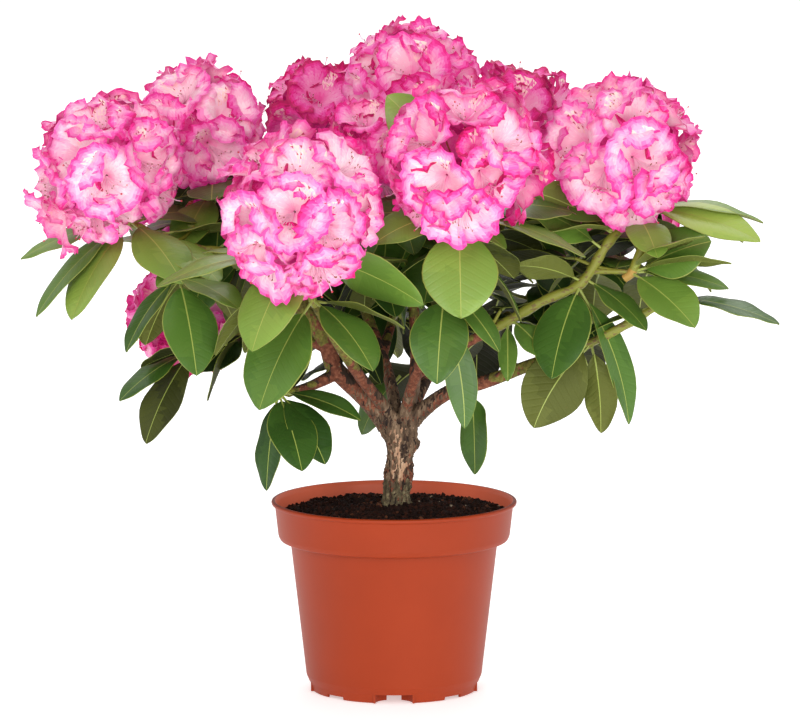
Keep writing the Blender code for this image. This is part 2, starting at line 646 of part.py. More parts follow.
def grow_masses(limbs):
    limb_trees = [object_tree(limb) for limb in limbs]
    paths = twig_paths()
    solids = {mass: [] for mass in MASS_BOUGH}
    trees = {mass: [] for mass in MASS_BOUGH}
    blooms = {mass: [] for mass in MASS_BOUGH}

    def add(mass, solid):
        solids[mass].append(solid)
        trees[mass].append(tree_of(solid))

    for name, mass, *_, truss, radius in SHOOTS:
        path, share = paths[name]
        if truss:
            path = path + [vec(truss)]
            share = share + [1.0]
        slim = [(TWIG_RADII[0] + (TWIG_RADII[1] - TWIG_RADII[0]) * s) * MM for s in share]
        add(mass, tube(path, slim, 3, 0.5))
    for name, mass, *_, truss, radius in SHOOTS:
        if not truss:
            continue
        centre = vec(truss)
        axis = (centre - paths[name][0][-1]).normalized()
        add(mass, truss_solid(centre, axis, radius, centre.x * 9000))
        blooms[mass].append(trees[mass][-1])

    def others(mass):
        return limb_trees + [tree for other, group in trees.items() if other != mass for tree in group]

    blades = {mass: [] for mass in MASS_BOUGH}
    taken = {row[0]: [] for row in SHOOTS}
    mass_of = {row[0]: row[1] for row in SHOOTS}
    for name, where, *shape in POSED_LEAVES:
        base = place_on(*paths[name], where)
        mass = mass_of[name]
        add(mass, leaf_solid(base, *shape))
        blades[mass].append(tree_of(leaf_blade(base, *shape)))
        bearing, dip, *_ = shape
        taken[name].append((bearing, dip, where))

    for name, mass, _, _, count, length, phase, front, steepest, _, _ in SHOOTS:
        path, share = paths[name]
        axis = (path[-1] - path[-2]).normalized()
        run = sum((b - a).length for a, b in zip(path, path[1:]))
        dice = random.Random(name)
        near_whorl = sum(1 for row in taken[name] if row[2] > 0.8)
        wanted = max(0, count - near_whorl)
        side = (Vector((0, -1, 0)) - axis * axis.dot(Vector((0, -1, 0)))).normalized()
        across = axis.cross(side)
        got = 0
        for k in range(count * 4):
            if got >= wanted:
                break
            turn = math.radians(phase + k * GOLDEN)
            rank = got / max(1, wanted - 1)
            lean = math.radians(WHORL_LEAN - WHORL_DROOP * rank)
            out = (side * math.cos(turn) + across * math.sin(turn)) * math.cos(lean) + axis * math.sin(lean)
            bearing = math.degrees(math.atan2(out.x, -out.y))
            dip = WHORL_LEAN + WHORL_DROOP * rank + dice.uniform(-6, 6) - math.degrees(math.asin(out.z))
            dip = max(LEAST_DIP, min(dip, steepest))
            if abs((bearing + 180) % 360 - 180) < front:
                continue
            long = length * (0.86 + 0.2 * dice.random())
            wide = long * (0.45 + 0.08 * dice.random())
            roll = dice.uniform(-22, 22)
            base = place_on(path, share, 1 - (0.001 + WHORL_DEPTH * rank) / run)
            turn_apart, dip_apart = LEAF_APART
            if any(place > 0.8 and abs((seen - bearing + 180) % 360 - 180) < turn_apart and abs(drop - dip) < dip_apart
                   for seen, drop, place in taken[name]):
                continue
            for swing, extra in SWINGS:
                shape = (base, bearing + swing, min(dip + extra, steepest + 6), roll, long, wide)
                if hits(tree_of(leaf_blade(*shape)), blades[mass]):
                    continue
                guard = tree_of(leaf_solid(*shape, grow=GUARD))
                if not hits(guard, blooms[mass]) and not hits(guard, others(mass)):
                    add(mass, leaf_solid(*shape))
                    blades[mass].append(tree_of(leaf_blade(*shape)))
                    taken[name].append((shape[1], shape[2], 1.0))
                    got += 1
                    break
    return solids


def build_masses(limbs):
    solids = grow_masses(limbs)
    flowering = {row[1] for row in SHOOTS if row[-2]}
    for mass, group in solids.items():
        for attempt in range(6):
            dice = random.Random(f"{mass} {attempt}")
            parts = []
            for verts, faces in group:
                nudge = Vector([dice.uniform(-0.04, 0.04) * attempt * MM for _ in range(3)])
                parts.append(mesh_object(mass, [v + nudge for v in verts], in_triangles(faces)))
            body = parts[0]
            if combine(body, parts[1:], "UNION"):
                break
            bpy.data.objects.remove(body, do_unlink=True)
        body.name = mass
        dress(body, BLOSSOM if mass in flowering else LEAF, 30)


build_pot()
build_soil()
build_masses(build_limbs())
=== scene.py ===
import itertools
import math
import random

import bmesh
import bpy
import numpy as np
from mathutils import Matrix, Vector, noise
from mathutils.bvhtree import BVHTree


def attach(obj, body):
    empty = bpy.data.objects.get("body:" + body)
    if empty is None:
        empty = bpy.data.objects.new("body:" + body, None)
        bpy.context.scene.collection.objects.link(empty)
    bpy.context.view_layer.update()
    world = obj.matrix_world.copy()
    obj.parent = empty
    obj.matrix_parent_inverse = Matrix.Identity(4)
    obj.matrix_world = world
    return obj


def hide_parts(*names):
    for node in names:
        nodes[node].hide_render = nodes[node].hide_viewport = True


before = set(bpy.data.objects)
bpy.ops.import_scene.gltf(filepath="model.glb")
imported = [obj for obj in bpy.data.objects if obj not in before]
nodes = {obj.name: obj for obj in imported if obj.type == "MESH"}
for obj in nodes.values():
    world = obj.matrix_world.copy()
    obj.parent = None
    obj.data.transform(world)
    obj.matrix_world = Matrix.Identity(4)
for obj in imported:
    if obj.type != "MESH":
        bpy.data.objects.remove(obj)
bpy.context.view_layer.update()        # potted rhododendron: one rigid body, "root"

MM = 0.001
CLEAR = 0.3
GUARD = 1.2
GOLDEN = 137.5

# Boughs: name, path, first and last radius, in millimetres.
BOUGHS = [
    ("bough_left", [(2, 0, 256), (-28, -6, 289), (-57, -10, 318), (-69, -8, 348), (-104, -10, 392),
                    (-144, -22, 428)], 10.4, 4.4),
    ("bough_right", [(10, 0, 258), (28, -3, 276), (56, -10, 296), (88, -20, 306), (134, -30, 325),
                     (176, -38, 341)], 7.6, 5.0),
    ("bough_front", [(8, -4, 260), (16, -24, 298), (30, -66, 344), (42, -98, 378)], 5.6, 4.0),
    ("bough_front_left", [(2, -4, 260), (-12, -14, 284), (-32, -38, 313), (-56, -94, 358),
                          (-75, -138, 398)], 6.2, 4.0),
    ("bough_centre", [(8, 4, 262), (20, 10, 302), (20, 18, 360), (13, 26, 424), (9, 30, 462)], 6.4, 4.0),
    ("bough_right_upper", [(20, 11, 308), (44, -6, 328), (74, -18, 346), (100, -26, 361)], 5.4, 4.8),
    ("bough_back", [(4, 6, 260), (-6, 36, 306), (-34, 86, 376), (-62, 128, 436), (-71, 143, 460)], 6.2, 3.8),
    ("bough_back_mid", [(-12, 48, 322), (2, 106, 362), (11, 156, 394)], 4.8, 3.8),
    ("bough_back_right", [(10, 6, 260), (36, 40, 308), (80, 90, 386), (104, 116, 436)], 6.0, 3.8),
    ("bough_back_far", [(44, 48, 320), (108, 98, 352), (160, 134, 374), (182, 148, 388)], 4.8, 3.8),
    ("bough_left_back", [(-71, -8, 350), (-92, 20, 388), (-132, 56, 436)], 5.2, 4.0),
    ("bough_left_rear", [(-98, 26, 396), (-134, 98, 402), (-162, 152, 406)], 4.4, 3.8),
    ("bough_left_low", [(-56, -10, 313), (-78, -24, 304), (-97, -33, 299)], 5.4, 4.2),
    ("bough_left_far", [(-64, -8, 336), (-104, 18, 350), (-144, 26, 346)], 4.4, 3.6),
]

# Shoots: name, mass, where it starts along the mass's first twig, points of its twig, leaf count, leaf
# length, first bearing, half-angle toward the viewer left to the posed leaves, steepest dip, truss centre
# and radius.
SHOOTS = [
    ("a", "mass_left", 0.0, [(-206, -32, 442), (-258, -36, 467)], 10, 120, 200, 100, 50,
     (-274, -60, 519), 75),
    ("m", "mass_left", 0.3, [(-208, -90, 418)], 7, 108, 150, 70, 50, None, 0),
    ("b", "mass_left_back", 0.0, [(-178, 72, 490)], 10, 118, 20, 0, 58, (-191, 72, 541), 68),
    ("b_in", "mass_left_back", 0.12, [(-126, 20, 456)], 7, 108, 40, 0, 66, None, 0),
    ("i", "mass_left_low", 0.0, [(-198, 28, 330)], 7, 108, 60, 80, 40, (-199, 78, 352), 56),
    ("n", "mass_low_sprig", 0.0, [(-113, -44, 300)], 7, 100, 190, 80, 50, None, 0),
    ("c", "mass_front_left", 0.0, [(-84, -156, 430), (-89, -166, 451)], 11, 118, 100, 95, 50,
     (-88, -200, 497), 80),
    ("e", "mass_top", 0.0, [(11, 40, 536)], 8, 116, 30, 0, 55, (18, 46, 588), 70),
    ("e_low", "mass_top", 0.12, [(-12, -34, 506)], 8, 108, 310, 0, 55, (-21, -60, 539), 52),
    ("f", "mass_front", 0.0, [(50, -120, 416), (62, -138, 486)], 11, 118, 120, 95, 50, (66, -170, 541), 80),
    ("e_in", "mass_top", 0.05, [(-32, 6, 448)], 8, 112, 80, 0, 68, None, 0),
    ("e_side", "mass_top", 0.06, [(48, -2, 446)], 7, 112, 0, 0, 62, None, 0),
    ("g", "mass_back_right", 0.0, [(118, 134, 500)], 10, 114, 75, 0, 55, (123, 140, 544), 60),
    ("h", "mass_right", 0.0, [(145, -35, 388), (181, -40, 406), (206, -40, 444), (238, -16, 476)],
     11, 120, 140, 105, 40, (217, -40, 535), 77),
    ("q", "mass_right", 0.56, [(230, -50, 418)], 7, 106, 110, 100, 35, None, 0),
    ("r", "mass_right_low", 0.0, [(208, -45, 357), (242, -50, 377), (268, -52, 394)],
     6, 106, 100, 100, 20, None, 0),
    ("l", "mass_back_far", 0.0, [(214, 168, 424)], 10, 118, 40, 0, 58, (225, 180, 475), 70),
    ("d", "mass_back_left", 0.0, [(-80, 164, 510)], 9, 112, 0, 0, 55, (-74, 168, 547), 55),
    ("k", "mass_back", 0.0, [(18, 198, 436)], 10, 118, 160, 0, 58, (28, 214, 485), 70),
    ("k_low", "mass_back", 0.15, [(-38, 182, 378)], 7, 110, 250, 0, 50, None, 0),
    ("j", "mass_left_rear", 0.0, [(-190, 192, 418)], 10, 118, 110, 0, 58, (-200, 210, 470), 70),
]
MASS_BOUGH = {
    "mass_left": "bough_left", "mass_left_back": "bough_left_back", "mass_left_low": "bough_left_far",
    "mass_low_sprig": "bough_left_low", "mass_front_left": "bough_front_left", "mass_top": "bough_centre",
    "mass_front": "bough_front", "mass_back_right": "bough_back_right", "mass_right": "bough_right_upper",
    "mass_right_low": "bough_right", "mass_back_far": "bough_back_far", "mass_back_left": "bough_back",
    "mass_back": "bough_back_mid", "mass_left_rear": "bough_left_rear",
}

# Leaves that show singly: shoot, place along its twig, bearing, dip below level, roll, length, width.
POSED_LEAVES = [
    ("a", 0.97, -50, 51, 0, 115, 54), ("a", 0.98, -80, 45, -25, 129, 44), ("a", 1.0, -100, 21, -20, 113, 40),
    ("a", 0.96, 48, 30, 0, 102, 52), ("a", 0.05, -48, 12, -20, 108, 44), ("a", 0.75, 45, 23, 5, 98, 50),
    ("m", 0.96, 16, 51, 0, 111, 54), ("m", 0.92, -50, 46, 10, 95, 40), ("m", 1.0, 40, 12, 0, 98, 48),
    ("i", 0.98, -62, 32, -10, 90, 44), ("i", 0.94, -45, 53, 0, 108, 46), ("i", 0.1, -25, 36, 65, 92, 42),
    ("n", 0.94, -16, 66, 30, 99, 36), ("n", 0.97, 22, 46, 0, 94, 50), ("n", 0.92, 46, 45, 20, 90, 42),
    ("n", 0.85, 58, 12, 25, 95, 40),
    ("c", 0.98, -35, 47, 0, 114, 68), ("c", 0.12, -50, 58, 0, 118, 66), ("c", 0.14, 43, 35, 0, 104, 56),
    ("c", 1.0, 83, 22, -50, 127, 60), ("c", 0.1, 62, 11, -20, 101, 48),
    ("f", 0.3, -8, 56, 0, 98, 57), ("f", 0.14, 65, 78, 60, 118, 31),
    ("f", 0.34, 40, 34, 10, 95, 28), ("f", 0.97, 2, 58, 0, 106, 73), ("f", 1.0, -64, 15, -30, 94, 44),
    ("f", 0.99, 84, 18, 8, 127, 38), ("f", 0.95, 60, 26, 0, 58, 32),
    ("h", 0.98, -67, -6, -50, 106, 54), ("h", 0.79, -69, -27, 65, 110, 40), ("h", 0.82, -50, -4, 10, 90, 46),
    ("h", 0.96, 14, 23, 0, 86, 44), ("h", 1.0, 78, 14, -35, 122, 50), ("h", 0.99, 98, 5, -10, 124, 44),
    ("h", 0.97, 90, 26, 10, 122, 44),
    ("q", 0.9, 52, -25, 0, 99, 54), ("q", 0.97, 74, -7, -20, 100, 44), ("q", 0.94, 45, 28, -15, 97, 48),
    ("q", 0.93, 94, 10, 20, 98, 42),
    ("r", 0.98, 80, 9, -15, 109, 42),
    ("h", 0.52, 60, 34, 5, 82, 44), ("h", 0.49, -34, 59, 0, 102, 64), ("h", 0.5, -62, -16, 40, 76, 40),
    ("h", 0.06, 0, 62, 20, 62, 20), ("h", 0.08, 44, 34, 20, 62, 32),
    ("r", 0.17, -66, 55, 0, 102, 64), ("r", 0.15, 30, 77, 60, 88, 36), ("e_low", 0.8, 24, -78, 0, 86, 36),
]
# A leaf's bend along its length in degrees and its thickness, a twig's first and last radius in millimetres,
# the step along a bough in metres, and the power of a bough's taper.
BEND = 28.0
LEAF_THICKNESS = 1.9
TWIG_RADII = (3.0, 2.2)
BOUGH_STEP = 0.026
TAPER = 1.3

# Florets of a truss: the largest radius of a small truss in millimetres, then number and width on small
# trusses and on large ones, how far out the mouths are, the funnels' depth and the core's radius. Width,
# mouth and core are shares of the truss's radius, and the depth is a share of the floret's own.
WIDE_BELOW = 62
WIDE_FLORETS = (11, 0.49)
SLIM_FLORETS = (16, 0.345)
FLORET_MOUTH = 0.92
FLORET_DEPTH = 1.1
CORE = 0.36
# How far a truss is turned about its axis, in degrees for each metre that it stands to the side.
TRUSS_TURN = 9000

# A whorl of leaves: the first lean up along the twig, the later ones droop and sit further back.
WHORL_LEAN = 12
WHORL_DROOP = 26
WHORL_DEPTH = 0.032
LEAST_DIP = 2.0
LEAF_APART = (24, 26)
NEAR_TIP = 0.8
TRIES = 4
SWINGS = list(itertools.product((0, 11, -11), (0, 8, 16, 24, -8, -16)))


def vec(point):
    return Vector(point) * MM


# Camera at the photograph's viewing angle: slightly above, square on, long lens. Degrees and metres.
VIEW_RISE = 8.4
VIEW_TARGET = (0.0058, 0.0, 0.3208)
VIEW_DISTANCE = 6.493


def aim_camera():
    rise = math.radians(VIEW_RISE)
    target = Vector(VIEW_TARGET)
    spot = target + Vector((0.0, -math.cos(rise), math.sin(rise))) * VIEW_DISTANCE
    data = bpy.data.cameras.new("camera")
    data.lens = 300.0
    data.sensor_width = 36.0
    data.clip_end = 200.0
    camera = bpy.data.objects.new("camera", data)
    camera.location = spot
    camera.rotation_euler = (target - spot).to_track_quat("-Z", "Y").to_euler()
    bpy.context.scene.collection.objects.link(camera)
    bpy.context.scene.camera = camera


aim_camera()


# Materials.
def to_linear(value):
    value = value / 255.0
    return value / 12.92 if value <= 0.04045 else ((value + 0.055) / 1.055) ** 2.4


def linear(colour):
    return tuple(to_linear(c) for c in colour) + (1.0,)


def shader_of(mat):
    return mat.node_tree.nodes["Principled BSDF"]


def node_material(name, colour, roughness, specular=0.5, sheen=0.0, glow=None, glow_strength=0.0):
    made = bpy.data.materials.new(name)
    made.use_nodes = True
    values = {"Base Color": linear(colour), "Roughness": roughness, "Specular IOR Level": specular,
              "Sheen Weight": sheen}
    if glow:
        values.update({"Emission Color": glow, "Emission Strength": glow_strength})
    for key, value in values.items():
        shader_of(made).inputs[key].default_value = value
    made.diffuse_color = linear(colour)
    return made


def new_node(mat, kind, **settings):
    node = mat.node_tree.nodes.new(kind)
    for key, value in settings.items():
        if key in node.inputs:
            node.inputs[key].default_value = value
        else:
            setattr(node, key, value)
    return node


def join(mat, source, target):
    mat.node_tree.links.new(source, target)


def grain_noise(mat, scale, detail, stretch=(1.0, 1.0, 1.0), rough=0.5):
    """Noise over the object's own coordinates; scale counts its features in a metre."""
    place = new_node(mat, "ShaderNodeTexCoord")
    turn = new_node(mat, "ShaderNodeMapping", Scale=stretch)
    grain = new_node(mat, "ShaderNodeTexNoise", Scale=scale, Detail=detail, Roughness=rough)
    join(mat, place.outputs["Object"], turn.inputs["Vector"])
    join(mat, turn.outputs["Vector"], grain.inputs["Vector"])
    return grain.outputs["Fac"]


def bump_from(mat, height, strength, distance):
    bump = new_node(mat, "ShaderNodeBump", Strength=strength, Distance=distance)
    join(mat, height, bump.inputs["Height"])
    join(mat, bump.outputs["Normal"], shader_of(mat).inputs["Normal"])


def noise_bump(mat, scale, strength, distance, detail=3.0, stretch=(1.0, 1.0, 1.0)):
    bump_from(mat, grain_noise(mat, scale, detail, stretch), strength, distance)


def tone_noise(mat, colours, scale, detail=4.0, stretch=(1.0, 1.0, 1.0)):
    """Base colour by noise through a ramp of (place, colour) rows."""
    ramp = new_node(mat, "ShaderNodeValToRGB")
    stops = ramp.color_ramp.elements
    while len(stops) < len(colours):
        stops.new(0.5)
    for stop, (where, colour) in zip(stops, colours):
        stop.position = where
        stop.color = linear(colour)
    join(mat, grain_noise(mat, scale, detail, stretch, rough=0.6), ramp.inputs["Fac"])
    join(mat, ramp.outputs["Color"], shader_of(mat).inputs["Base Color"])


def math_node(mat, operation, *values):
    """The result of a math node; each value is a number or another node's output."""
    node = new_node(mat, "ShaderNodeMath", operation=operation)
    for socket, value in zip(node.inputs, values):
        if isinstance(value, bpy.types.NodeSocket):
            join(mat, value, socket)
        else:
            socket.default_value = value
    return node.outputs[0]


# Petal tones from near-white to crimson, then cream and speckle.
PETAL_TONES = [
    (247, 237, 236), (246, 226, 227), (244, 209, 218), (242, 190, 209), (240, 168, 200), (238, 145, 191),
    (235, 118, 180), (230, 86, 164), (224, 52, 144), (215, 26, 121), (200, 8, 95), (172, 2, 66),
    (246, 226, 209), (168, 60, 74),
]
PALE, CRIMSON, CREAM, SPECKLE = 0, 11, 12, 13
# Painted glow: an emission that stands in for light coming through the thin petals and keeps their shaded
# sides pink.
PETAL_PAINTED_GLOW = (1.0, 0.05, 0.46, 1.0)


def bumped_materials(rows, scale, strength, distance):
    """Materials from rows of node_material's values, with a fine bump."""
    made = [node_material(*row) for row in rows]
    for mat in made:
        noise_bump(mat, scale, strength, distance)
    return made


def petal_materials():
    # Every petal tone carries the painted glow.
    rows = [(f"petal_{index:02d}", colour, 0.55, 0.3, 0.1, PETAL_PAINTED_GLOW, 0.10)
            for index, colour in enumerate(PETAL_TONES)]
    return bumped_materials(rows, 420.0, 0.25, 0.0004)


# Leaf tones, light to dark: share of the scale and colour, for the upper and the lower face; the darkest
# tones serve as painted shade deep in the crown.
LEAF_SCALE = [(0.0, (158, 182, 78)), (0.27, (116, 148, 58)), (0.53, (76, 112, 40)), (0.76, (43, 74, 24)),
              (1.0, (14, 26, 6))]
UNDER_SCALE = [(0.0, (140, 148, 72)), (0.6, (88, 94, 36)), (1.0, (28, 32, 9))]
TOP_TONES = 21
UNDER_TONES = 11
MIDRIB, MARGIN, STALK = range(TOP_TONES + UNDER_TONES, TOP_TONES + UNDER_TONES + 3)
# Side veins: how far they lean along the leaf, and how many to each hundred millimetres.
VEIN_LEAN = 0.62
VEINS = 12.5


def scale_colour(scale, share):
    places = [place for place, _ in scale]
    return tuple(float(np.interp(share, places, [colour[k] for _, colour in scale])) for k in range(3))


def leaf_materials():
    made = []
    for name, scale, count, roughness, specular, strength in (
            ("leaf_top_{:02d}", LEAF_SCALE, TOP_TONES, 0.38, 0.42, 0.20),
            ("leaf_under_{}", UNDER_SCALE, UNDER_TONES, 0.6, 0.25, 0.45)):
        for index in range(count):
            colour = scale_colour(scale, index / (count - 1))
            made.append(node_material(name.format(index), colour, roughness, specular))
            vein_bump(made[-1], strength)
    lines = [("leaf_midrib", (164, 178, 84), 0.45), ("leaf_margin", (136, 148, 58), 0.45),
             ("leaf_stalk", (158, 170, 82), 0.45)]
    return made + bumped_materials(lines, 500.0, 0.2, 0.0003)


def vein_bump(mat, strength):
    """Side veins from the leaf's own map, u across and v along in hundreds of millimetres, and fine grain."""
    split = new_node(mat, "ShaderNodeSeparateXYZ")
    join(mat, new_node(mat, "ShaderNodeUVMap", uv_map="leaf").outputs["UV"], split.inputs["Vector"])
    lean = math_node(mat, "MULTIPLY", math_node(mat, "ABSOLUTE", split.outputs["X"]), VEIN_LEAN)
    along = math_node(mat, "SUBTRACT", split.outputs["Y"], lean)
    wave = math_node(mat, "COSINE", math_node(mat, "MULTIPLY", along, VEINS * math.tau))
    sharp = math_node(mat, "POWER", math_node(mat, "MULTIPLY_ADD", wave, 0.5, 0.5), 6.0)
    height = math_node(mat, "MULTIPLY_ADD", sharp, -0.8, grain_noise(mat, 420.0, 3.0))
    bump_from(mat, height, strength, 0.0006)


# Meshes gathered from arrays.
class Pile:
    """Triangles with slot numbers, gathered for one mesh."""

    def __init__(self):
        self.verts, self.tris, self.slots, self.spots = [], [], [], []
        self.count = 0
        self.total = 0

    def add(self, verts, tris, slots, spots=None):
        verts = np.asarray(verts, float).reshape(-1, 3)
        tris = np.asarray(tris, int).reshape(-1, 3)
        self.verts.append(verts)
        self.tris.append(tris + self.count)
        self.slots.append(np.broadcast_to(np.asarray(slots, int), (len(tris),)))
        self.spots.append(np.zeros((len(verts), 2)) if spots is None else spots)
        self.count += len(verts)
        self.total += len(tris)

    def link(self, tris, slot):
        """More triangles between points that are already there."""
        self.tris.append(tris)
        self.slots.append(np.full(len(tris), slot))
        self.total += len(tris)

    def finish(self, name, materials, slot, stands_for, map_name=None):
        tris = np.concatenate(self.tris)
        mesh = bpy.data.meshes.new(name)
        mesh.from_pydata(np.concatenate(self.verts), [], tris, shade_flat=False)
        mesh.polygons.foreach_set("material_index", np.concatenate(self.slots).astype(np.int32))
        if map_name:
            layer = mesh.uv_layers.new(name=map_name)
            layer.data.foreach_set("uv", np.concatenate(self.spots)[tris.ravel()].astype(np.float32).ravel())
        mesh.validate()
        add_materials(mesh, materials)
        return place_piece(bpy.data.objects.new(name, mesh), stands_for)


def add_materials(mesh, materials):
    for mat in materials:
        mesh.materials.append(mat)


def place_piece(obj, stands_for):
    if obj.name not in bpy.context.scene.collection.objects:
        bpy.context.scene.collection.objects.link(obj)
    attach(obj, "root")
    if stands_for:
        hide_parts(*stands_for)
    return obj


def grid_tris(rows, columns, closed=False):
    """Triangles over rows x columns cells of a grid of points; a closed grid runs round a tube."""
    width = columns if closed else columns + 1
    i, j = np.meshgrid(np.arange(rows), np.arange(columns), indexing="ij")
    a = i * width + j
    b = i * width + (j + 1) % width
    c = a + width
    d = b + width
    return np.stack([np.stack([a, b, d], -1), np.stack([a, d, c], -1)], 2).reshape(-1, 3)


def headings(path):
    inner = [(path[i + 1] - path[i - 1]).normalized() for i in range(1, len(path) - 1)]
    return [(path[1] - path[0]).normalized()] + inner + [(path[-1] - path[-2]).normalized()]


def sides_along(path):
    """Two unit vectors across a path at each of its points, carried along it without twist."""
    ahead = headings(path)
    side = ahead[0].orthogonal().normalized()
    for heading in ahead:
        side = (side - heading * side.dot(heading)).normalized()
        yield side, heading.cross(side)


def tube_mesh(points, radii, sides):
    """Points and triangles of an open tube along a line."""
    path = [Vector(p) for p in points]
    turn = np.arange(sides) * math.tau / sides
    rings = [np.outer(np.cos(turn), side) + np.outer(np.sin(turn), across)
             for side, across in sides_along(path)]
    line = np.array([tuple(p) for p in path])
    verts = line[:, None, :] + np.array(rings) * np.asarray(radii)[:, None, None]
    return verts.reshape(-1, 3), grid_tris(len(path) - 1, sides, closed=True)


def smooth(x, low, high):
    t = np.clip((x - low) / (high - low), 0.0, 1.0)
    return t * t * (3 - 2 * t)


# The plant's rule, as its solids follow it.
def path_through(points, step):
    return smooth_path([vec(p) for p in points], step)


def in_triangles(faces):
    return [(f[0], f[k], f[k + 1]) for f in faces for k in range(1, len(f) - 1)]


def smooth_path(points, step):
    ends = [points[0] * 2 - points[1]] + list(points) + [points[-1] * 2 - points[-2]]
    out = []
    for p0, p1, p2, p3 in zip(ends, ends[1:], ends[2:], ends[3:]):
        count = max(1, round((p2 - p1).length / step))
        for k in range(count):
            t = k / count
            out.append(0.5 * (2 * p1 + (p2 - p0) * t + (2 * p0 - 5 * p1 + 4 * p2 - p3) * t * t
                              + (3 * p1 - p0 - 3 * p2 + p3) * t ** 3))
    out.append(points[-1].copy())
    walked = [0.0]
    for a, b in zip(out, out[1:]):
        walked.append(walked[-1] + (b - a).length)
    return out, [w / walked[-1] for w in walked]


def tube(path, radii, sides, phase=0.0):
    verts = []
    for point, radius, (side, across) in zip(path, radii, sides_along(path)):
        for k in range(sides):
            turn = math.tau * k / sides + phase
            verts.append(point + (side * math.cos(turn) + across * math.sin(turn)) * radius)
    faces = [tuple(reversed(range(sides)))]
    for a in range(0, len(verts) - sides, sides):
        for k in range(sides):
            n = (k + 1) % sides
            faces.append((a + k, a + n, a + sides + n, a + sides + k))
    faces.append(tuple(range(len(verts) - sides, len(verts))))
    return verts, faces


def tree_of(solid):
    verts, faces = solid
    return BVHTree.FromPolygons([tuple(v) for v in verts], in_triangles(faces))


def object_tree(obj):
    faces = [tuple(p.vertices) for p in obj.data.polygons]
    return BVHTree.FromPolygons([tuple(v.co) for v in obj.data.vertices], faces)


def leaf_lines(base, bearing, dip, roll, length, bend, stations):
    """Point, heading, side and normal at stations of a leaf's midline, which bends in a vertical plane."""
    turn = math.radians(bearing)
    out = Vector((math.sin(turn), -math.cos(turn), 0.0))
    level_side = Vector((math.cos(turn), math.sin(turn), 0.0))
    rows = []
    for t in stations:
        mean = math.radians(-dip + bend / 2 - bend * t / 2)
        here = math.radians(-dip + bend / 2 - bend * t)
        point = base + (out * math.cos(mean) + Vector((0, 0, math.sin(mean)))) * (length * MM * t)
        heading = out * math.cos(here) + Vector((0, 0, math.sin(here)))
        normal = level_side.cross(heading).normalized()
        twist = Matrix.Rotation(math.radians(roll) * min(1.0, t * 2.5), 3, heading)
        rows.append((point, heading, twist @ level_side, twist @ normal))
    return rows


def leaf_blade(base, bearing, dip, roll, length, width):
    rows = leaf_lines(base, bearing, dip, roll, length, BEND, (0.22, 0.36, 0.72, 0.97))
    verts = []
    for (point, _, side, _), w in zip(rows, (0.22, 0.47, 0.45, 0.06)):
        verts += [point - side * width * w * MM, point + side * width * w * MM]
    return verts, [(0, 1, 3, 2), (2, 3, 5, 4), (4, 5, 7, 6)]


def leaf_solid(base, bearing, dip, roll, length, width, grow=0.0):
    rows = leaf_lines(base, bearing, dip, roll, length + grow, BEND, (0.0, 0.14, 0.36, 0.72, 1.0))
    half = [1.5, 1.9, width * 0.47, width * 0.45]
    keel = [1.6, 1.9, LEAF_THICKNESS, LEAF_THICKNESS * 0.9]
    verts = []
    for (point, _, side, normal), w, k in zip(rows, half, keel):
        middle = point + normal * grow * MM
        spread = side * (w + grow) * MM
        verts += [middle - spread, middle + spread, point - normal * (k + grow) * MM]
    verts.append(rows[-1][0])
    faces = [(2, 1, 0)]
    for a in (0, 3, 6):
        faces += [(a + 1, a + 4, a + 3, a), (a + 2, a + 5, a + 4, a + 1), (a, a + 3, a + 5, a + 2)]
    return verts, faces + [(10, 12, 9), (11, 12, 10), (9, 12, 11)]


def core_faces(axis, phase, wide):
    """Corner directions of each core face, the first face along the axis; twelve faces for wide florets."""
    bm = bmesh.new()
    bmesh.ops.create_icosphere(bm, subdivisions=1, radius=1.0)
    if wide:
        loops = []
        for vert in bm.verts:
            pole = vert.co.normalized()
            side = pole.orthogonal().normalized()
            across = pole.cross(side)
            spots = [face.calc_center_median().normalized() for face in vert.link_faces]
            spots.sort(key=lambda spot: math.atan2(spot.dot(across), spot.dot(side)))
            loops.append(spots)
    else:
        loops = [[vert.co.normalized() for vert in face.verts] for face in bm.faces]
    bm.free()
    middle = sum(loops[0], Vector()).normalized()
    turn = Matrix.Rotation(math.radians(phase), 3, axis) @ middle.rotation_difference(axis).to_matrix()
    loops = [[turn @ spot for spot in loop] for loop in loops]
    loops.sort(key=lambda loop: -axis.dot(sum(loop, Vector()).normalized()))
    return loops


def truss_solid(centre, axis, radius, phase):
    wide = radius <= WIDE_BELOW
    loops = core_faces(axis, phase, wide)
    keep, share = WIDE_FLORETS if wide else SLIM_FLORETS
    reach = radius * share * MM
    turns = [0.0] if wide else [math.radians(-30.0), math.radians(30.0)]
    corners = {}
    verts = []
    faces = []

    def corner(spot):
        key = tuple(round(c, 4) for c in spot)
        if key not in corners:
            corners[key] = len(verts)
            verts.append(centre + spot * CORE * radius * MM)
        return corners[key]

    for rank, loop in enumerate(loops):
        ring = [corner(spot) for spot in loop]
        if rank >= keep:
            faces.append(tuple(ring))
            continue
        aim = sum(loop, Vector()).normalized()
        mouth = centre + aim * FLORET_MOUTH * radius * MM
        start = len(verts)
        for spot in loop:
            side = (spot - aim * spot.dot(aim)).normalized()
            across = aim.cross(side)
            verts += [mouth + (side * math.cos(turn) + across * math.sin(turn)) * reach for turn in turns]
        throat = len(verts)
        verts.append(mouth - aim * reach * FLORET_DEPTH)
        count = throat - start
        faces += [(start + k, start + (k + 1) % count, throat) for k in range(count)]
        for k in range(len(loop)):
            n = (k + 1) % len(loop)
            if wide:
                faces.append((ring[k], ring[n], start + n, start + k))
            else:
                faces.append((ring[k], start + 2 * k + 1, start + 2 * k))
                faces.append((ring[k], ring[n], start + 2 * n, start + 2 * k + 1))
    return verts, faces


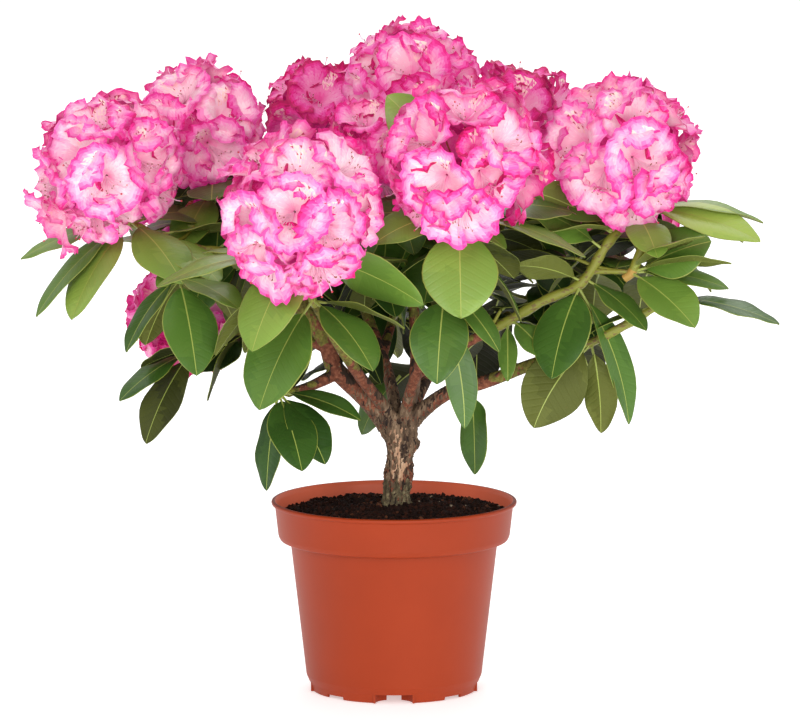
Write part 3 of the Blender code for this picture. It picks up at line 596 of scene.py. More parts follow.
def twig_paths():
    rows = {name: points for name, points, *_ in BOUGHS}
    first_path = {}
    paths = {}
    for name, mass, start, points, *_ in SHOOTS:
        if mass not in first_path:
            bough, _ = path_through(rows[MASS_BOUGH[mass]], BOUGH_STEP)
            heading = (bough[-1] - bough[-2]).normalized()
            root = bough[-1] + heading * CLEAR * MM
            lead = [root, root + heading * 0.006]
        else:
            trail, share = first_path[mass]
            index = min(range(len(share)), key=lambda i: abs(share[i] - start))
            away = (vec(points[0]) - trail[index]).normalized()
            lead = [trail[index] - away * 0.0012]
        path, share = smooth_path(lead + [vec(p) for p in points], 0.016)
        paths[name] = (path, share)
        first_path.setdefault(mass, (path, share))
    return paths


def place_on(path, share, where):
    for i in range(len(share) - 1):
        if where <= share[i + 1]:
            t = (where - share[i]) / (share[i + 1] - share[i])
            return path[i].lerp(path[i + 1], max(0.0, min(1.0, t)))
    return path[-1].copy()


def hits(shape, trees):
    return any(shape.overlap(tree) for tree in trees)


def twig_radius(share):
    return TWIG_RADII[0] + (TWIG_RADII[1] - TWIG_RADII[0]) * share


def turn_between(one, two):
    return abs((one - two + 180) % 360 - 180)


def grow_plant():
    """Twig paths, trusses and leaves; a whorl's leaf gives way to limbs, blooms and other masses."""
    limb_trees = [object_tree(nodes[name]) for name in ["trunk"] + [row[0] for row in BOUGHS]]
    paths = twig_paths()
    trees, blooms, blades = ({mass: [] for mass in MASS_BOUGH} for _ in range(3))
    taken = {row[0]: [] for row in SHOOTS}
    mass_of = {row[0]: row[1] for row in SHOOTS}
    trusses = []
    leaves = []
    for name, mass, *_, truss, radius in SHOOTS:
        path, share = paths[name]
        axis = None
        if truss:
            centre = vec(truss)
            axis = (centre - path[-1]).normalized()
            path = path + [centre]
            share = share + [1.0]
        trees[mass].append(tree_of(tube(path, [twig_radius(s) * MM for s in share], 3, 0.5)))
        if truss:
            phase = centre.x * TRUSS_TURN
            bloom = tree_of(truss_solid(centre, axis, radius, phase))
            trees[mass].append(bloom)
            blooms[mass].append(bloom)
            trusses.append((name, mass, centre, axis, radius, phase))

    def keep_leaf(name, shape, place, posed):
        mass = mass_of[name]
        trees[mass].append(tree_of(leaf_solid(*shape)))
        blades[mass].append(tree_of(leaf_blade(*shape)))
        taken[name].append((shape[1], shape[2], place))
        leaves.append((name, mass, *shape, posed))

    for name, where, *shape in POSED_LEAVES:
        keep_leaf(name, (place_on(*paths[name], where), *shape), where, True)
    for name, mass, _, _, count, length, phase, front, steepest, _, _ in SHOOTS:
        path, share = paths[name]
        axis = (path[-1] - path[-2]).normalized()
        run = sum((b - a).length for a, b in zip(path, path[1:]))
        dice = random.Random(name)
        wanted = max(0, count - sum(1 for row in taken[name] if row[2] > NEAR_TIP))
        side = (Vector((0, -1, 0)) - axis * axis.dot(Vector((0, -1, 0)))).normalized()
        across = axis.cross(side)
        others = limb_trees + [tree for other, group in trees.items() if other != mass for tree in group]
        got = 0
        for k in range(count * TRIES):
            if got >= wanted:
                break
            turn = math.radians(phase + k * GOLDEN)
            rank = got / max(1, wanted - 1)
            lean = math.radians(WHORL_LEAN - WHORL_DROOP * rank)
            out = (side * math.cos(turn) + across * math.sin(turn)) * math.cos(lean) + axis * math.sin(lean)
            bearing = math.degrees(math.atan2(out.x, -out.y))
            dip = WHORL_LEAN + WHORL_DROOP * rank + dice.uniform(-6, 6) - math.degrees(math.asin(out.z))
            dip = max(LEAST_DIP, min(dip, steepest))
            if turn_between(bearing, 0) < front:
                continue
            long = length * (0.86 + 0.2 * dice.random())
            wide = long * (0.45 + 0.08 * dice.random())
            roll = dice.uniform(-22, 22)
            base = place_on(path, share, 1 - (0.001 + WHORL_DEPTH * rank) / run)
            if any(place > NEAR_TIP and turn_between(bearing, seen) < LEAF_APART[0]
                   and abs(drop - dip) < LEAF_APART[1] for seen, drop, place in taken[name]):
                continue
            for swing, extra in SWINGS:
                shape = (base, bearing + swing, min(dip + extra, steepest + 6), roll, long, wide)
                if hits(tree_of(leaf_blade(*shape)), blades[mass]):
                    continue
                if not hits(tree_of(leaf_solid(*shape, grow=GUARD)), blooms[mass] + others):
                    keep_leaf(name, shape, 1.0, False)
                    got += 1
                    break
    return paths, trusses, leaves, limb_trees, blades, blooms


PATHS, TRUSSES, LEAVES, LIMB_TREES, BLADES, BLOOMS = grow_plant()

# Single leaves on bare limbs and beside flower balls: base, bearing, dip, roll, length, width.
LIMB_LEAVES = [
    ((75, -22, 302), 8, 75, 55, 86, 40), ((6, 48, 302), -100, 57, -40, 71, 50),
    ((35, 62, 315), -130, 39, 35, 90, 56),
    ((178, -40, 402), 76, 69, 30, 142, 36), ((38, -150, 541), -110, -50, -62, 74, 47),
    ((-93, -168, 450), -82, 12, -12, 135, 40), ((-142, 20, 350), -50, 30, -25, 68, 42),
    ((200, -42, 440), -75, -30, -45, 82, 52), ((232, -46, 416), 78, -24, 50, 82, 60),
    ((-180, 62, 480), -15, 24, 0, 108, 46),
]

# Windows that stay open between the boughs, as the front view shows them: left, right, low, high.
OPEN_SKY = [
    (-400, -262, 0, 362), (-296, -253, 362, 430), (-178, -136, 0, 322), (-88, -46, 263, 288),
    (-60, -6, 0, 262), (22, 68, 0, 284), (92, 124, 0, 300), (108, 134, 322, 358), (208, 262, 300, 356),
    (236, 400, 0, 352), (262, 300, 330, 366), (290, 345, 335, 372), (-256, -226, 372, 420),
    (290, 400, 474, 560),
]
# Inner leaves: lowest height as seen in millimetres, and in metres how far they come to the front and how far
# they reach from the middle of the crown.
LOWEST_INSIDE = 292
INNER_FRONT = -0.008
INNER_REACH = 0.30
INNER_AXIS = 0.005
# Side twigs: places along each limb, leaves on each and the height in metres below which none grows.
SPRIG_SHARES = (0.42, 0.58, 0.72, 0.86, 0.97)
SPRIG_LEAVES = 5
LOWEST_SPRIG = 0.285
SEEN_TILT = 0.158
SPRIG_TWIGS = []


def seen(point):
    """Across and up as the photograph shows a point, in millimetres; a point further back shows higher."""
    return point.x / MM, (point.z + SEEN_TILT * point.y) / MM


def in_sky(point):
    across, up = seen(point)
    return any(left < across < right and low < up < high for left, right, low, high in OPEN_SKY)


def spots_along(shape):
    return [row[0] for row in leaf_lines(*shape[:5], BEND, (0.4, 0.7, 1.0))]


def grow_inner():
    """Short side twigs along each bough and shoot with a few leaves, inside the reach of the larger ones."""
    rows = []
    blades = [tree for group in BLADES.values() for tree in group]
    blooms = [tree for group in BLOOMS.values() for tree in group]
    lines = {name: path_through(points, 0.004) for name, points, *_ in BOUGHS}
    lines.update({name: smooth_path(PATHS[name][0], 0.004) for name, *_ in SHOOTS})
    for name, (path, share) in lines.items():
        dice = random.Random(name + "inner")
        for number, where in enumerate(SPRIG_SHARES):
            root = place_on(path, share, where)
            if root.z < LOWEST_SPRIG:
                continue
            turn = math.radians(number * GOLDEN + dice.uniform(-30, 30))
            rise = math.radians(dice.uniform(0, 50))
            out = Vector((math.sin(turn) * math.cos(rise), -math.cos(turn) * math.cos(rise), math.sin(rise)))
            tip = root + out * dice.uniform(0.026, 0.048)
            got = 0
            for k in range(SPRIG_LEAVES * 3):
                if got >= SPRIG_LEAVES:
                    break
                bearing = math.degrees(turn) + k * GOLDEN
                dip = dice.uniform(8, 62)
                long = dice.uniform(78, 104)
                wide = long * dice.uniform(0.42, 0.50)
                shape = (tip, bearing, dip, dice.uniform(-30, 30), long, wide)
                if any(in_sky(spot) or seen(spot)[1] < LOWEST_INSIDE or spot.y < INNER_FRONT
                       or math.hypot(spot.x - INNER_AXIS, spot.y * 1.25) > INNER_REACH
                       for spot in spots_along(shape)):
                    continue
                blade = tree_of(leaf_blade(*shape))
                if hits(blade, blades + LIMB_TREES) or hits(tree_of(leaf_solid(*shape)), blooms):
                    continue
                blades.append(blade)
                rows.append((name, "", *shape, False))
                got += 1
            if got:
                SPRIG_TWIGS.append([root, root.lerp(tip, 0.5) + Vector((0, 0, -0.002)), tip])
    return rows


INNER_LEAVES = grow_inner() + [("limb", "", vec(base), *shape, False) for base, *shape in LIMB_LEAVES]

# Florets: five ruffled lobes on a funnel. Local z looks out of the mouth, local y points to the upper lobe.
def floret(rng, deep, columns, rows):
    """Points, triangles and slots of one floret of mouth radius 1; deep shifts all tones toward crimson, for
    the truss's own tone and for painted shade.
    """
    lobe_tris = grid_tris(rows, columns)
    out_from_throat = 0.015 + 0.985 * np.linspace(0.0, 1.0, rows + 1) ** 0.85
    s, a = np.meshgrid(np.linspace(-1.0, 1.0, columns + 1), out_from_throat)
    off = np.abs(s)

    def at_faces(values):
        return values.ravel()[lobe_tris].mean(axis=1)

    def wave(height, low, high, way, phase, where):
        return height * np.sin(math.pi * rng.uniform(low, high) * way + phase) * where

    sc = at_faces(s)
    ac = at_faces(a)
    spots = []
    slots = []
    deep = deep + rng.normal(0.0, 0.45)
    for k in range(5):
        middle = math.radians(90 + 72 * k) + rng.normal(0.0, 0.06)
        grow = smooth(a, 0.38, 0.80)
        half = math.radians(36) * (1.17 + rng.uniform(0.20, 0.40) * grow)
        # The lobe's outline and the funnel it leaves.
        rim = a * (1 - rng.uniform(0.10, 0.20) * off ** 2.2 * grow)
        r = 0.02 + 1.0 * rim ** 1.08
        z = -0.86 * (1 - rim) ** 1.6
        frill = smooth(rim, 0.45, 1.0) ** 1.5
        side = off ** 2 * grow
        edge = np.maximum(frill, 0.8 * side)
        # The lobe tilts out and its tip rolls back.
        tilt = rng.uniform(-0.38, 0.16)
        beyond = np.maximum(r - 0.40, 0.0)
        r = np.minimum(r, 0.40) + beyond * rng.uniform(0.98, 1.14) * math.cos(tilt)
        z = z + beyond * math.sin(tilt)
        z -= rng.uniform(0.0, 0.26) * smooth(a, 0.66, 1.0) ** 2
        # Ruffles, coarse to fine.
        p = rng.uniform(0.0, math.tau, 10)
        z += wave(0.070, 1.2, 1.9, s, p[0], edge)
        z += wave(0.055, 3.2, 4.6, s, p[1] + 1.8 * a, edge ** 1.4)
        z += wave(0.032, 7.0, 9.0, s, p[8], frill ** 2)
        z += wave(0.055, 1.8, 2.8, 2 * a, p[2], side)
        r += wave(0.035, 4.5, 6.5, s, p[3], frill)
        r += wave(0.020, 9.0, 11.0, s, p[9], frill ** 2)
        z += rng.uniform(-0.06, 0.14) * off * grow
        z += 0.07 * s * smooth(off, 0.4, 1.0) * grow
        angle = middle + s * half + 0.07 * np.sin(3.0 * a + p[4]) * grow
        x = r * np.cos(angle)
        y = r * np.sin(angle)
        z += 0.030 * np.sin(7 * x + p[5]) * np.sin(6.5 * y + p[6]) * grow
        spots.append(np.stack([x, y, z], -1).reshape(-1, 3))
        # Pale throat and middle, deep edge, faint veins.
        gc = at_faces(grow)
        outer = np.clip((ac - 0.55) / 0.45, 0.0, 1.0)
        band = np.maximum(outer, np.clip((np.abs(sc) - 0.35) / 0.65, 0.0, 1.0) * gc)
        tone = 1.9 + 4.3 * band + 2.2 * band ** 4 + deep + rng.normal(0.0, 0.6)
        tone -= 1.5 * np.clip(1 - np.abs(sc) / 0.4, 0.0, 1.0) * (1 - band) * gc
        vein = np.maximum(0.0, np.sin(sc * math.pi * 5.2 + 0.8 * np.sin(ac * 9 + p[7]))) ** 6
        tone += 1.2 * vein * smooth(ac, 0.3, 0.6)
        # Deeper toward the bottom of the funnel: painted shade in the throat's hollow.
        tone += 1.4 * smooth(-ac, -0.30, -0.10) + 0.30 * rng.normal(0.0, 1.0, len(ac))
        slot = np.clip(np.round(tone), PALE, CRIMSON).astype(int)
        if k == 0:
            dice = rng.random(len(ac))
            inside = (np.abs(sc) < 0.50) & (ac > 0.34) & (ac < 0.80) & (band < 0.5)
            slot[inside & (dice < 0.40)] = CREAM
            slot[inside & (np.abs(sc) < 0.42) & (ac > 0.40) & (dice > 0.92)] = SPECKLE
        slots.append(slot)
    size = len(spots[0])
    tris = np.concatenate([lobe_tris + size * k for k in range(5)])
    return np.concatenate(spots), tris, np.concatenate(slots)


def bezier(points, count):
    p = np.asarray(points, float)
    t = np.linspace(0.0, 1.0, count)[:, None]
    return (1 - t) ** 3 * p[0] + 3 * (1 - t) ** 2 * t * p[1] + 3 * (1 - t) * t * t * p[2] + t ** 3 * p[3]


FILAMENT, ANTHER, STIGMA = range(3)
STAMENS = 8


def small_ball():
    bm = bmesh.new()
    bmesh.ops.create_icosphere(bm, subdivisions=1, radius=1.0)
    verts = np.array([tuple(v.co) for v in bm.verts])
    tris = np.array([[v.index for v in f.verts] for f in bm.faces])
    bm.free()
    return verts, tris


BALL = small_ball()
OCTA = (np.array([(1, 0, 0), (-1, 0, 0), (0, 1, 0), (0, -1, 0), (0, 0, 1), (0, 0, -1)], float),
        np.array([(0, 2, 4), (2, 1, 4), (1, 3, 4), (3, 0, 4), (2, 0, 5), (1, 2, 5), (3, 1, 5), (0, 3, 5)]))


def add_tube(pile, points, radii, sides, slots, place=np.asarray):
    verts, tris = tube_mesh(points, radii, sides)
    pile.add(place(verts), tris, slots)


def add_stamens(pile, rng, place):
    """Curved stamens low in the throat with their tips turned up, and a longer style with a red tip."""
    for k in range(STAMENS):
        x = (k / (STAMENS - 1) - 0.5) * 0.62 + rng.normal(0.0, 0.05)
        drop = rng.uniform(0.28, 0.50)
        lift = rng.uniform(-0.22, 0.02)
        points = bezier([(0.0, 0.0, -0.80), (0.2 * x, -0.10, -0.42), (0.9 * x, -drop - 0.08, -0.24),
                         (1.1 * x, -drop + 0.12, lift)], 7)
        add_tube(pile, points, [0.012] * 7, 3, FILAMENT, place)
        pile.add(place(points[-1] + OCTA[0] * (0.022, 0.022, 0.034)), OCTA[1], ANTHER)
    x = rng.normal(0.0, 0.08)
    points = bezier([(0.0, 0.0, -0.80), (0.0, -0.15, -0.35), (x, -0.56, -0.06), (1.2 * x, -0.44, 0.22)], 8)
    add_tube(pile, points, [0.014] * 8, 3, FILAMENT, place)
    pile.add(place(points[-1] + OCTA[0] * 0.034), OCTA[1], STIGMA)


# How much deeper than the common pink each truss is: partly its own tone, partly painted shade on trusses
# that sit further back, d and g the most.
TRUSS_DEEP_AND_SHADE = {"a": -0.3, "b": -0.5, "c": -0.3, "d": 3.4, "e": 0.8, "e_low": 1.0, "f": 0.5, "g": 3.2,
              "h": -0.3, "i": 1.2, "j": 0.6, "k": 0.6, "l": 0.6}
# Florets that fill out the lower side of a truss: the way each looks out of it, and how far out its mouth
# is, as a share of the truss's radius.
MORE_FLORETS = {
    "a": [(-0.60, -0.34, -0.76, 1.14), (-0.80, -0.50, -0.35, 0.80), (-0.42, -0.60, -0.72, 0.90)],
    "c": [(-0.58, -0.54, -0.61, 0.92), (0.46, -0.52, -0.70, 0.93)],
    "f": [(0.04, -0.72, -0.66, 0.92)],
    "h": [(0.36, -0.60, -0.72, 0.86)],
}
# Where a truss is less full: the way out of it and the share of the common size.
SMALL_FLORETS = {
    "a": [(0.35, -0.40, -0.85, 0.90)],
    "c": [(0.93, -0.30, -0.20, 0.90), (-0.93, -0.30, 0.10, 0.93)],
    "f": [(0.55, -0.80, -0.15, 0.86), (0.50, -0.42, -0.75, 0.80)],
    "h": [(-0.30, -0.40, -0.86, 0.84)],
}
# How closely a floret has to look that way to be one of them: about the cosine of the angle between.
SAME_WAY = 0.88
# Trusses that sit a little beside their place, in millimetres.
TRUSS_SHIFT = {"c": (1, 0, -2), "e": (0, 0, -3), "h": (0, 0, -5), "i": (-7, 0, 5)}
# Columns and rows of a lobe's grid.
LARGE_GRID = (16, 12)
SMALL_GRID = (8, 6)
# Small florets between the large ones: how much deeper their tones are, as painted shade in the gaps between
# the large florets, and as shares of the truss's radius how far out they sit and how large they are.
BETWEEN_PAINTED_SHADE = 3.8
BETWEEN_OUT = 0.72
BETWEEN_SIZE = 0.25
# Size of a large floret as a share of the truss's radius: small trusses, large trusses.
FLORET_SIZE = (0.56, 0.475)
# A floret whose upper side can't follow the truss's axis turns it this way.
SPARE_UP = Vector((0.2, 0.6, 1.0))
# A mesh takes no further truss, or no further leaf, from this many triangles on.
FULL_PETALS = 150000
FULL_LEAVES = 180000


def facing(centre, axis, aim, size, out, rng):
    """A function that carries floret points from their own frame to the plant."""
    aim = (aim + Vector(rng.normal(0.0, 0.07, 3))).normalized()
    up = axis - aim * axis.dot(aim)
    if up.length < 0.25:
        up = SPARE_UP - aim * SPARE_UP.dot(aim)
    up = (Matrix.Rotation(rng.normal(0.0, 0.30), 3, aim) @ up.normalized()).normalized()
    basis = np.array([tuple(up.cross(aim)), tuple(up), tuple(aim)]) * size
    origin = np.array(tuple(centre + aim * out))
    return lambda points: np.asarray(points) @ basis + origin


def build_blossom(pedicels):
    materials = petal_materials()
    kinds = [("filament", (250, 206, 224), 0.5), ("anther", (160, 104, 76), 0.7),
             ("stigma", (200, 60, 72), 0.4)]
    stamen_materials = bumped_materials(kinds, 900.0, 0.2, 0.0002)
    stamens = Pile()
    piles = []
    for name, mass, centre, axis, radius, phase in TRUSSES:
        rng = np.random.default_rng(sum(ord(c) * (i + 3) for i, c in enumerate(name)))
        centre = centre + Vector(TRUSS_SHIFT.get(name, (0, 0, 0))) * MM
        wide = radius <= WIDE_BELOW
        loops = core_faces(axis, phase, wide)[:(WIDE_FLORETS if wide else SLIM_FLORETS)[0]]
        if not piles or piles[-1][0].total > FULL_PETALS:
            piles.append((Pile(), set()))
        pile, masses = piles[-1]
        masses.add(mass)
        aims = [(sum(loop, Vector()).normalized(), FLORET_MOUTH) for loop in loops]
        aims += [(Vector(way).normalized(), mouth) for *way, mouth in MORE_FLORETS.get(name, [])]
        for aim, mouth in aims:
            size = radius * FLORET_SIZE[0 if wide else 1] * rng.uniform(0.94, 1.08) * MM
            for *way, share in SMALL_FLORETS.get(name, []):
                if aim.dot(Vector(way)) > SAME_WAY:
                    mouth *= share
                    size *= share
            place = facing(centre, axis, aim, size, (mouth * radius - 1 + rng.uniform(-3, 2)) * MM, rng)
            verts, tris, slots = floret(rng, TRUSS_DEEP_AND_SHADE[name], *LARGE_GRID)
            pile.add(place(verts), tris, slots)
            add_stamens(stamens, rng, place)
            base = place([[0.0, 0.0, -0.95]])[0]
            start = np.array(tuple(centre - axis * radius * 0.30 * MM))
            middle = (base + start) / 2 + np.array(tuple(aim)) * 0.003
            line = bezier([start, middle, middle, base], 4)
            add_tube(pedicels, line, [0.0012, 0.0011, 0.0011, 0.0016], 4, PEDICEL)
        corners = {tuple(round(c, 3) for c in spot): spot for loop in loops for spot in loop}
        for spot in corners.values():
            size = radius * BETWEEN_SIZE * MM
            place = facing(centre, axis, spot.normalized(), size, BETWEEN_OUT * radius * MM, rng)
            # The small florets' deeper tones are painted shade in the gaps between the large ones.
            verts, tris, slots = floret(rng, TRUSS_DEEP_AND_SHADE[name] + BETWEEN_PAINTED_SHADE, *SMALL_GRID)
            pile.add(place(verts), tris, slots)
    for number, (pile, masses) in enumerate(piles):
        pile.finish(f"petals_{number + 1}", materials, "blossom", sorted(masses))
    stamens.finish("stamens", stamen_materials, "blossom", [])


# Leaves: a thin blade with a sunk midrib, pale margin and a round stalk.
EDGE_COLUMNS = (-1.0, -0.97, -0.72, -0.40)
BLADE_STEPS = 18
COLUMNS = 2 * len(EDGE_COLUMNS) + 2
LEAF_TRIS = grid_tris(BLADE_STEPS, COLUMNS - 1)
RIB_COLUMN = (COLUMNS - 1) // 2
LEAF_COLUMN = np.tile(np.repeat(np.arange(COLUMNS - 1), 2), BLADE_STEPS)


# Posed leaves that are turned about their midrib: roll, width, and what bearing and dip gain.
LEAF_TURN = {
    "a": {-50: (8, 70, 0, 0), 48: (12, 56, -12, 0), -80: (-12, 44, 0, 0)},
    "c": {-50: (-10, 82, -4, 0)},
    "h": {78: (25, 54, 0, 0), 90: (10, 44, 24, -9), 98: (6, 42, 0, 2)},
    "i": {-45: (0, 53, 0, 0), -62: (-10, 39, -3, -2)},
    "n": {58: (25, 28, 0, 0)},
    "q": {45: (20, 52, 0, 0)},
    "r": {-66: (-58, 62, 0, -3), 80: (9, 44, 0, 3)},
}
# Posed leaves whose other face looks at the viewer.
TURNED_OVER = [("r", -66), ("r", 30), ("i", -45), ("c", 83)]


def add_leaf(pile, row, shade, rng):
    name, _, base, bearing, dip, roll, length, width, posed = row
    turned_over = posed and (name, bearing) in TURNED_OVER
    if posed:
        roll, width, swing, drop = LEAF_TURN.get(name, {}).get(bearing, (roll, width, 0, 0))
        bearing += swing
        dip += drop
    # The midline, with stations closer at both ends.
    even = np.linspace(0.0, 1.0, BLADE_STEPS + 1)
    x = even - 0.085 * np.sin(math.tau * even)
    t = x[:, None]
    lines = leaf_lines(base, bearing, dip, roll, length, BEND + rng.uniform(-4, 8), 0.14 + 0.86 * x)
    point, _, side, down = (np.array([tuple(v) for v in column])[:, None, :] for column in zip(*lines))
    up = down if turned_over else -down
    side = -side if turned_over else side
    # Columns across the blade, in millimetres and as shares of its half width.
    half = np.maximum(np.sin(math.pi * x ** rng.uniform(0.92, 1.08)) ** 0.70 * width / 2, 0.35)
    half[0] = 1.3
    w = half[:, None]
    rib = np.minimum(0.80 - 0.5 * t, w * 0.5)
    edge = np.array(EDGE_COLUMNS)
    across = np.concatenate([w * edge, -rib, rib, w * -edge[::-1]], axis=1)
    u = across / w
    off = np.abs(u)
    # Fold along the midrib, curl, slow waves, the swell between side veins and the sunk midrib.
    fold = math.tan(math.radians(rng.uniform(4, 15)))
    curl = rng.uniform(0.06, 0.24)
    swell = np.sin(math.tau * (rng.uniform(1.4, 2.6) * t + rng.random()) + 1.3 * u)
    rise = off * w * fold - curl * u * u * w + swell * off ** 2 * smooth(w, 4.0, 14.0)
    rise = rise + 0.5 * np.sin(math.tau * (6.5 * t - 0.5 * off)) * off * (1 - u * u)
    rise[:, RIB_COLUMN:RIB_COLUMN + 2] -= 0.35
    thick = np.full((COLUMNS, 1), 0.5)
    thick[RIB_COLUMN:RIB_COLUMN + 2] = 1.3
    top = point + side * across[..., None] * MM + up * rise[..., None] * MM
    under = top - up * thick * MM
    # Tones: lighter or darker in patches, with their own midrib and margin, added to the painted light and
    # shade of the leaf's place in the crown.
    spots = np.stack([across / 100.0, np.broadcast_to(t * length * 0.86 / 100.0, u.shape)], -1).reshape(-1, 2)
    uc, xc = (np.broadcast_to(part, u.shape).ravel()[LEAF_TRIS].mean(axis=1) for part in (u, t))
    tone = shade + 0.55 * np.sin(5 * xc + uc * 1.7 + rng.random() * 6) + 0.8 * np.abs(uc) - 0.3
    high = np.clip(np.round(tone), 0, TOP_TONES - 1).astype(int)
    low = np.clip(np.round(shade / 1.9 + 0.5 * np.sin(4 * xc + uc)), 0, UNDER_TONES - 1).astype(int)
    low += TOP_TONES
    high[(LEAF_COLUMN == 0) | (LEAF_COLUMN == COLUMNS - 2)] = MARGIN
    for slots in (high, low):
        slots[LEAF_COLUMN == RIB_COLUMN] = MIDRIB
    start = pile.count
    pile.add(top.reshape(-1, 3), LEAF_TRIS[:, ::-1], high, spots)
    pile.add(under.reshape(-1, 3), LEAF_TRIS, low, spots)
    lower = len(spots)
    for column, turned in ((0, True), (COLUMNS - 1, False)):
        a = start + np.arange(BLADE_STEPS) * COLUMNS + column
        b = a + COLUMNS
        quad = np.concatenate([np.stack([a, b, b + lower], -1), np.stack([a, b + lower, a + lower], -1)])
        pile.link(quad[:, ::-1] if turned else quad, MARGIN)
    stalk = leaf_lines(base, bearing, dip, roll, length, BEND, (0.0, 0.05, 0.10, 0.15, 0.22))
    line = [r[0] + r[3] * 0.0007 * min(1.0, k / 2) for k, r in enumerate(stalk)]
    add_tube(pile, line, [0.0017, 0.0015, 0.0014, 0.0012, 0.0005], 6, STALK)


# Leaves whose tone differs from what their place in the crown gives, partly their own tone and partly painted
# light and shade: above nought darker, below it lighter.
LEAF_LIGHT = {
    "a": {-80: 3.0, -50: -3.0, 45: -3.0, 48: -4.0},
    "c": {-50: 1.0, -35: -2.0, 43: 1.0, 83: 2.5},
    "f": {-8: 3.0, 2: -3.5, 40: 2.5, 65: 3.0},
    "h": {-34: 2.0, 60: 3.0, 78: -3.5},
    "i": {-62: 3.0, -45: 5.0, -25: 5.0},
    "m": {-50: 4.0, 16: 5.0, 40: 2.0},
    "n": {-16: 5.0, 22: 4.0, 46: 5.0, 58: 4.0},
    "q": {52: -1.0, 94: 2.0},
    "r": {80: 4.0},
    "limb": {-110: -3.5, -100: 0.0, -82: -1.5, -75: -1.0, -50: 7.0, -15: -2.5, 8: 1.5, 76: 2.5, 78: 3.5},
}
# The same for leaves without an entry there: posed ones, grown ones and those on side twigs; the grown ones
# and those on side twigs get painted shade, as they sit deeper in the crown.
PAINTED_SHADE_POSED, PAINTED_SHADE_GROWN, PAINTED_SHADE_INNER = 0.0, 3.5, 8.0


def leaf_tone_and_painted_light(row):
    """Tone number, painted light and shade: low and lighter toward the top and the outside of the crown, high
    and darker low down and inside.
    """
    name, mass, base, bearing, dip, roll, length, _, posed = row
    tip = leaf_lines(base, bearing, dip, roll, length, BEND, (0.7,))[0][0]
    out = math.hypot(tip.x, tip.y * 1.1) / 0.30
    high = (tip.z - 0.30) / 0.16
    common = PAINTED_SHADE_POSED if posed else PAINTED_SHADE_GROWN if mass else PAINTED_SHADE_INNER
    own = LEAF_LIGHT.get(name, {}).get(bearing, common)
    return 10.0 - 3.0 * min(1.2, max(0.0, high)) - 2.2 * min(1.2, max(0.0, out - 0.2)) + own


def build_leaves():
    materials = leaf_materials()
    piles = [Pile()]
    rng = np.random.default_rng(20)
    for row in LEAVES + INNER_LEAVES:
        _, mass, *shape, posed = row
        # A grown leaf that would close an open window is left out.
        if mass and not posed and any(in_sky(spot) for spot in spots_along(shape)):
            continue
        if piles[-1].total > FULL_LEAVES:
            piles.append(Pile())
        add_leaf(piles[-1], row, leaf_tone_and_painted_light(row) + rng.normal(0.0, 1.3), rng)
    for number, pile in enumerate(piles):
        stands_for = sorted(MASS_BOUGH) if number == 0 else []
        pile.finish(f"leaves_{number + 1}", materials, "leaf", stands_for, map_name="leaf")


# Twigs that grow on from the boughs: green, a little knobbly, with brown patches.
TWIG_GREEN, TWIG_BROWN, PEDICEL, BUD_SCALE = range(4)
TWIG_SIDES = 10
# Stout twigs: radius at the foot, and the share of the length where the common radius is reached.
STOUT = {"h": (4.9, 0.95), "r": (4.6, 0.9)}
# The stem of a large bud that stands by itself on the right.
BUD_STEM = [(222, -49, 411), (229, -50, 417), (235, -51, 430), (243, -52, 448)]


def build_twigs(pile):
    rng = np.random.default_rng(5)
    last_radius = {row[0]: row[3] for row in BOUGHS}
    begun = set()
    for name, mass, *_, truss, _ in SHOOTS:
        path, share = smooth_path(PATHS[name][0] + ([vec(truss)] if truss else []), 0.004)
        share = np.array(share)
        thick = twig_radius(share)
        if mass not in begun:
            stout, until = STOUT.get(name, (last_radius[MASS_BOUGH[mass]], 0.55))
            taper = smooth(share, until - 0.3, until)
            thick = np.maximum(thick, stout + (TWIG_RADII[0] - stout) * taper)
        begun.add(mass)
        thick = thick * (1 + 0.07 * np.sin(np.arange(len(share)) * 0.9) + 0.05 * rng.normal(size=len(share)))
        verts, tris = tube_mesh(path, thick * MM, TWIG_SIDES)
        pile.add(verts, tris, np.where(rng.random(len(tris)) < 0.2, TWIG_BROWN, TWIG_GREEN))
        grow = path[-1] - path[-2]
        pile.add(BALL[0] * 0.0028 + np.array(tuple(path[-1] - grow * 0.3)), BALL[1], TWIG_GREEN)
    path, share = path_through(BUD_STEM, 0.002)
    slots = np.repeat([BUD_SCALE if s < 0.34 else TWIG_GREEN for s in share[1:]], 2 * TWIG_SIDES)
    add_tube(pile, path, [(4.0 + 1.9 * s) * MM for s in share], TWIG_SIDES, slots)
    pile.add(BALL[0] * 0.0059 + np.array(tuple(path[-1])), BALL[1], TWIG_GREEN)
    for points in SPRIG_TWIGS:
        path, share = smooth_path(points, 0.006)
        add_tube(pile, path, [0.0022 - 0.0006 * s for s in share], 6, TWIG_GREEN)


def twig_materials():
    rows = [("twig_green", (134, 136, 46), 0.5), ("twig_brown", (122, 104, 56), 0.7),
            ("pedicel", (178, 150, 96), 0.5), ("bud_scales", (178, 142, 66), 0.6)]
    return bumped_materials(rows, 700.0, 0.4, 0.0005)


# Trunk and boughs with the bark's relief. Trunk rings: centre and radius, in millimetres.
TRUNK = [
    (2.0, 0.0, 180.6, 14.8), (2.0, 0.0, 184.5, 13.9), (2.2, 0.0, 189.0, 12.9), (3.0, 0.4, 199.0, 12.9),
    (4.4, 0.6, 211.0, 13.8), (5.6, 0.2, 222.0, 12.6), (5.9, 0.0, 230.0, 12.2), (7.0, -0.6, 243.0, 14.8),
    (6.8, -0.4, 253.0, 16.0), (5.6, 0.0, 263.0, 14.2), (5.4, 0.4, 270.0, 10.5),
]
BARK_DARK, BARK_GREY, BARK_TAN, BARK_MOSS, BARK_RED, BARK_GREEN = range(6)
BARK_VOXEL = 0.0011
